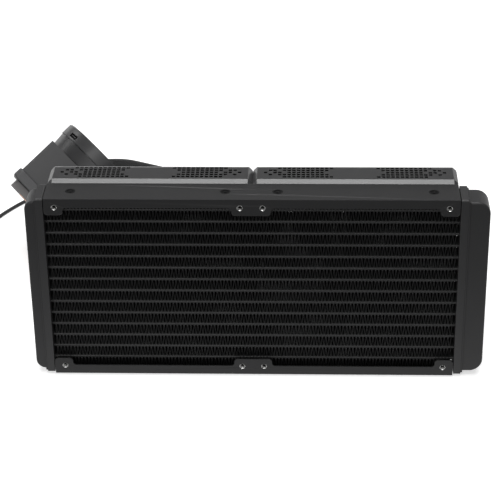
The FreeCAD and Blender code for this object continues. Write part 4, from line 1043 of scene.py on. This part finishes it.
def brushed(name, colour, roughness, turn, pitch=0.0003, depth=0.25):
    """A ground or brushed metal."""
    made, tree, shader = started(name, metallic=1.0)
    angles = [math.radians(angle) for angle in turn]
    lines = tree.node("ShaderNodeGroup", {"Turn": angles, "Pitch": pitch}, node_tree=BRUSHED)
    grain = tree.node("ShaderNodeGroup", {"Size": 0.001, "Blotch Size": 0.008}, node_tree=FINE_GRAIN)
    tone = tree.math("MULTIPLY", lines.outputs["Tone"], grain.outputs["Tone"])
    tree.set(shader.inputs["Base Color"], toned(tree, colour, tone))
    rough = tree.math("MULTIPLY", roughness, tree.spread(tone, 0.8, 1.2, 1.2, 0.8))
    tree.set(shader.inputs["Roughness"], rough)
    bumped(tree, shader, lines.outputs["Height"], depth, pitch)
    return made


def wound(name, colour, pitch):
    """Enamelled wire laid turn by turn, each turn a little different in tone, and painted shade in the
    grooves between the turns.
    """
    made, tree, shader = started(name, 0.3, metallic=1.0)
    place = tree.node("ShaderNodeSeparateXYZ", {0: tree.object_place()})
    turns = tree.math("DIVIDE", tree.math("ADD", place.outputs["Y"], place.outputs["Z"]), pitch)
    round_turn = tree.math("ABSOLUTE", tree.math("SINE", tree.math("MULTIPLY", turns, math.pi)))
    chance = tree.node("ShaderNodeTexWhiteNoise", {"W": tree.math("FLOOR", turns)}, noise_dimensions="1D")
    # Darker where the turns meet, painted shade; each turn's own tone differs at random.
    tone = tree.math("MULTIPLY", tree.spread(round_turn, 0.0, 0.8, 0.3, 1.0),
                     tree.spread(chance.outputs["Value"], 0.0, 1.0, 0.8, 1.15))
    tree.set(shader.inputs["Base Color"], toned(tree, colour, tone))
    bumped(tree, shader, round_turn, 0.7, pitch / 2)
    return made


def polished_glass(name, colour):
    """Black glass with faint wipe marks."""
    made, tree, shader = started(name)
    place = tree.object_place()
    marks = tree.node("ShaderNodeTexNoise",
                      {"Vector": place, "Scale": 70.0, "Detail": 4.0, "Distortion": 0.6})
    dust = tree.node("ShaderNodeTexVoronoi", {"Vector": place, "Scale": 900.0})
    speck = tree.spread(dust.outputs["Distance"], 0.0, 0.09, 1.6, 1.0)
    tree.set(shader.inputs["Base Color"], toned(tree, colour, speck))
    tree.set(shader.inputs["Roughness"], tree.spread(marks.outputs["Fac"], 0.35, 0.7, 0.03, 0.09))
    return made


def board_finish(name, colour):
    """Solder mask over a net of traces, with bare pads here and there."""
    made, tree, shader = started(name, 0.35)
    place = tree.object_place()
    net = tree.node("ShaderNodeTexVoronoi", {"Vector": place, "Scale": 260.0}, distance="MANHATTAN",
                    feature="F2")
    traces = tree.spread(tree.math("PINGPONG", net.outputs["Distance"], 0.12), 0.05, 0.07)
    dots = tree.node("ShaderNodeTexVoronoi", {"Vector": place, "Scale": 320.0})
    pads = tree.spread(dots.outputs["Distance"], 0.16, 0.12)
    masked = tree.mix(traces, (*colour, 1), toned(tree, colour, 1.7))
    tree.set(shader.inputs["Base Color"], tree.mix(pads, masked, (0.55, 0.5, 0.36, 1)))
    tree.set(shader.inputs["Metallic"], pads)
    height = tree.math("ADD", tree.math("MULTIPLY", traces, 0.5), pads)
    bumped(tree, shader, height, 0.4, 0.00005)
    return made


def sintered(name, colour):
    """Porous pressed bronze."""
    made, tree, shader = started(name, 0.45, metallic=1.0)
    place = tree.object_place()
    pores = tree.node("ShaderNodeTexVoronoi", {"Vector": place, "Scale": 5000.0})
    hole = tree.spread(pores.outputs["Distance"], 0.1, 0.35)
    # The pores are painted darker, as the shade in them.
    tree.set(shader.inputs["Base Color"], toned(tree, colour, tree.spread(hole, 0.0, 1.0, 0.45, 1.05)))
    bumped(tree, shader, hole, 0.5, 0.00008)
    return made


HOSE_ROUND = math.pi * HOSE_DIAMETER * MM
CABLE_ROUND = math.pi * CABLE_DIAMETER * MM

MATERIALS = {
    "painted_metal": grained("painted_metal", grey(0.02), 0.45, size=0.0005, depth=0.12, specular=0.28,
                             edge=0.0003),
    "tank_metal": grained("tank_metal", grey(0.027), 0.42, size=0.0005, depth=0.12, specular=0.28,
                          edge=0.0004),
    # The headers' copy of the painted metal, made lighter and glossier: painted light, the same paint as the
    # plates.
    "painted_metal_lit_copy": grained("painted_metal_lit_copy", grey(0.027), 0.42, size=0.0005, depth=0.12, specular=0.34,
                            edge=0.0004),
    "plug_metal": grained("plug_metal", grey(0.008), 0.45, specular=0.12),
    "core_metal": grained("core_metal", grey(0.016), 0.45, specular=0.3),
    "fin_metal": grained("fin_metal", grey(0.0115), 0.45, specular=0.5),
    "fan_plastic": grained("fan_plastic", grey(0.031), 0.32, size=0.0003, depth=0.08, specular=0.65,
                           edge=0.0004),
    "bare_metal": brushed("bare_metal", (0.85, 0.85, 0.84), 0.3, (0, 0, 90), pitch=0.0002, depth=0.1),
    # Near-black finish of the fan frames' recesses and of the socket's liner: painted shade.
    "recess_painted_shade": grained("recess_painted_shade", grey(0.006), 0.7, specular=0.05),
    "rotor_plastic": grained("rotor_plastic", grey(0.03), 0.36, size=0.0004, depth=0.06, edge=0.0003),
    "head_plastic": grained("head_plastic", grey(0.048), 0.55, size=0.0003, depth=0.12, edge=0.0003),
    "base_plastic": grained("base_plastic", grey(0.13, 0.04), 0.5, size=0.0003, specular=0.4,
                            edge=0.0003),
    "bracket_plastic": grained("bracket_plastic", grey(0.056), 0.45, size=0.0004, edge=0.0005),
    "collar_plastic": grained("collar_plastic", grey(0.027), 0.32, size=0.0003, depth=0.05, edge=0.0003),
    "cap_plastic": grained("cap_plastic", grey(0.028), 0.34, size=0.0003, depth=0.06, edge=0.0003),
    "fitting_plastic": grained("fitting_plastic", grey(0.03), 0.4, edge=0.0003),
    "inner_plastic": grained("inner_plastic", grey(0.03), 0.5, edge=0.0002),
    "glass": polished_glass("glass", grey(0.012)),
    "display": polished_glass("display", grey(0.012)),
    "circuit_board": board_finish("circuit_board", (0.015, 0.06, 0.028)),
    "copper": brushed("copper", (0.5, 0.29, 0.19), 0.35, (12, -34, 48)),
    "winding_copper": wound("winding_copper", (0.55, 0.24, 0.11), 0.00045),
    "bearing_bronze": sintered("bearing_bronze", (0.55, 0.38, 0.18)),
    "magnet": grained("magnet", grey(0.06), 0.6, size=0.0006, depth=0.3),
    "steel": brushed("steel", (0.72, 0.72, 0.71), 0.35, (0, 0, 90), pitch=0.0002),
    # Screws: edges strongly lightened, partly wear and partly a painted highlight.
    "screw_steel": grained("screw_steel", grey(0.03), 0.4, metallic=0.6, edge=0.0002, wear_and_highlight=2.5),
    "rubber": grained("rubber", grey(0.018), 0.7, size=0.0003, depth=0.2),
    "hose_rubber": woven("hose_rubber", grey(0.018), HOSE_ROUND / 26, HOSE_ROUND / 20, 0.0005, 0.5, 0.4),
    "sleeve": grained("sleeve", grey(0.022), 0.35, size=0.0004, specular=0.4, edge=0.0003),
    "cable_rubber": woven("cable_rubber", grey(0.03), CABLE_ROUND / 12, CABLE_ROUND / 9, 0.0002, 0.5, 0.3),
}


def dress_nodes():
    for subpart in frame["record"]["subparts"]:
        node = frame["nodes"][subpart["node"]]
        node.data.materials.clear()
        node.data.materials.append(MATERIALS[subpart["material_slot"]])
    # The headers take the lighter copy of the painted metal, and its extra lightness is painted light.
    for side in ("left", "right"):
        frame["nodes"][side + "_header"].data.materials[0] = MATERIALS["painted_metal_lit_copy"]


dress_nodes()
for side, centre in FAN_CENTRES.items():
    dotted_frame(side, centre)
for side, rise in (("top", 1), ("bottom", -1)):
    countersunk_plate(side, rise)
service_socket()
bands = sleeve_bands()
ribs = grommet_ribs()
tie = coil_tie()
plug = three_pin_plug()
for piece, slot in ((fins, "fin_metal"), (threads, "steel"), (bands, "sleeve"), (ribs, "rubber"),
                    (tie, "rubber"), (hoses[0], "hose_rubber"), (hoses[1], "hose_rubber"),
                    (cable, "cable_rubber")):
    piece.data.materials.append(MATERIALS[slot])


# Floor paper and surroundings: white to the camera, and dimmer to every other ray

FLOOR_GLOW_SEEN = 0.55
FLOOR_GLOW = 0.9
GLOW_FROM = -0.25
GLOW_FULL = 0.0
WORLD_DIM = 0.15


def white_floor():
    """White paper; to other rays it glows near the object only, from GLOW_FROM to GLOW_FULL."""
    made = bpy.data.materials.new("floor_paper")
    made.use_nodes = True
    tree = Tree(made.node_tree)
    shader = made.node_tree.nodes["Principled BSDF"]
    shader.inputs["Roughness"].default_value = 0.9
    shader.inputs["Specular IOR Level"].default_value = 0.0
    shader.inputs["Emission Color"].default_value = (1, 1, 1, 1)
    path = tree.node("ShaderNodeLightPath")
    place = tree.node("ShaderNodeSeparateXYZ", {0: tree.node("ShaderNodeNewGeometry").outputs["Position"]})
    glow = tree.spread(place.outputs["Y"], GLOW_FROM, GLOW_FULL, 0.0, FLOOR_GLOW)
    camera = path.outputs["Is Camera Ray"]
    tree.set(shader.inputs["Emission Strength"], tree.spread(camera, 0.0, 1.0, glow, FLOOR_GLOW_SEEN))
    tree.set(shader.inputs["Base Color"], tree.mix(camera, (0.05, 0.05, 0.05, 1), (0.8, 0.8, 0.8, 1)))
    return made


floor.data.materials.append(white_floor())


def white_world():
    world = bpy.data.worlds.new("studio")
    scene.world = world
    world.use_nodes = True
    tree = Tree(world.node_tree)
    background = world.node_tree.nodes["Background"]
    background.inputs["Color"].default_value = (1, 1, 1, 1)
    path = tree.node("ShaderNodeLightPath")
    seen = path.outputs["Is Camera Ray"]
    tree.set(background.inputs["Strength"], tree.spread(seen, 0.0, 1.0, WORLD_DIM, 1.0))


white_world()
scene.view_settings.view_transform = "Standard"
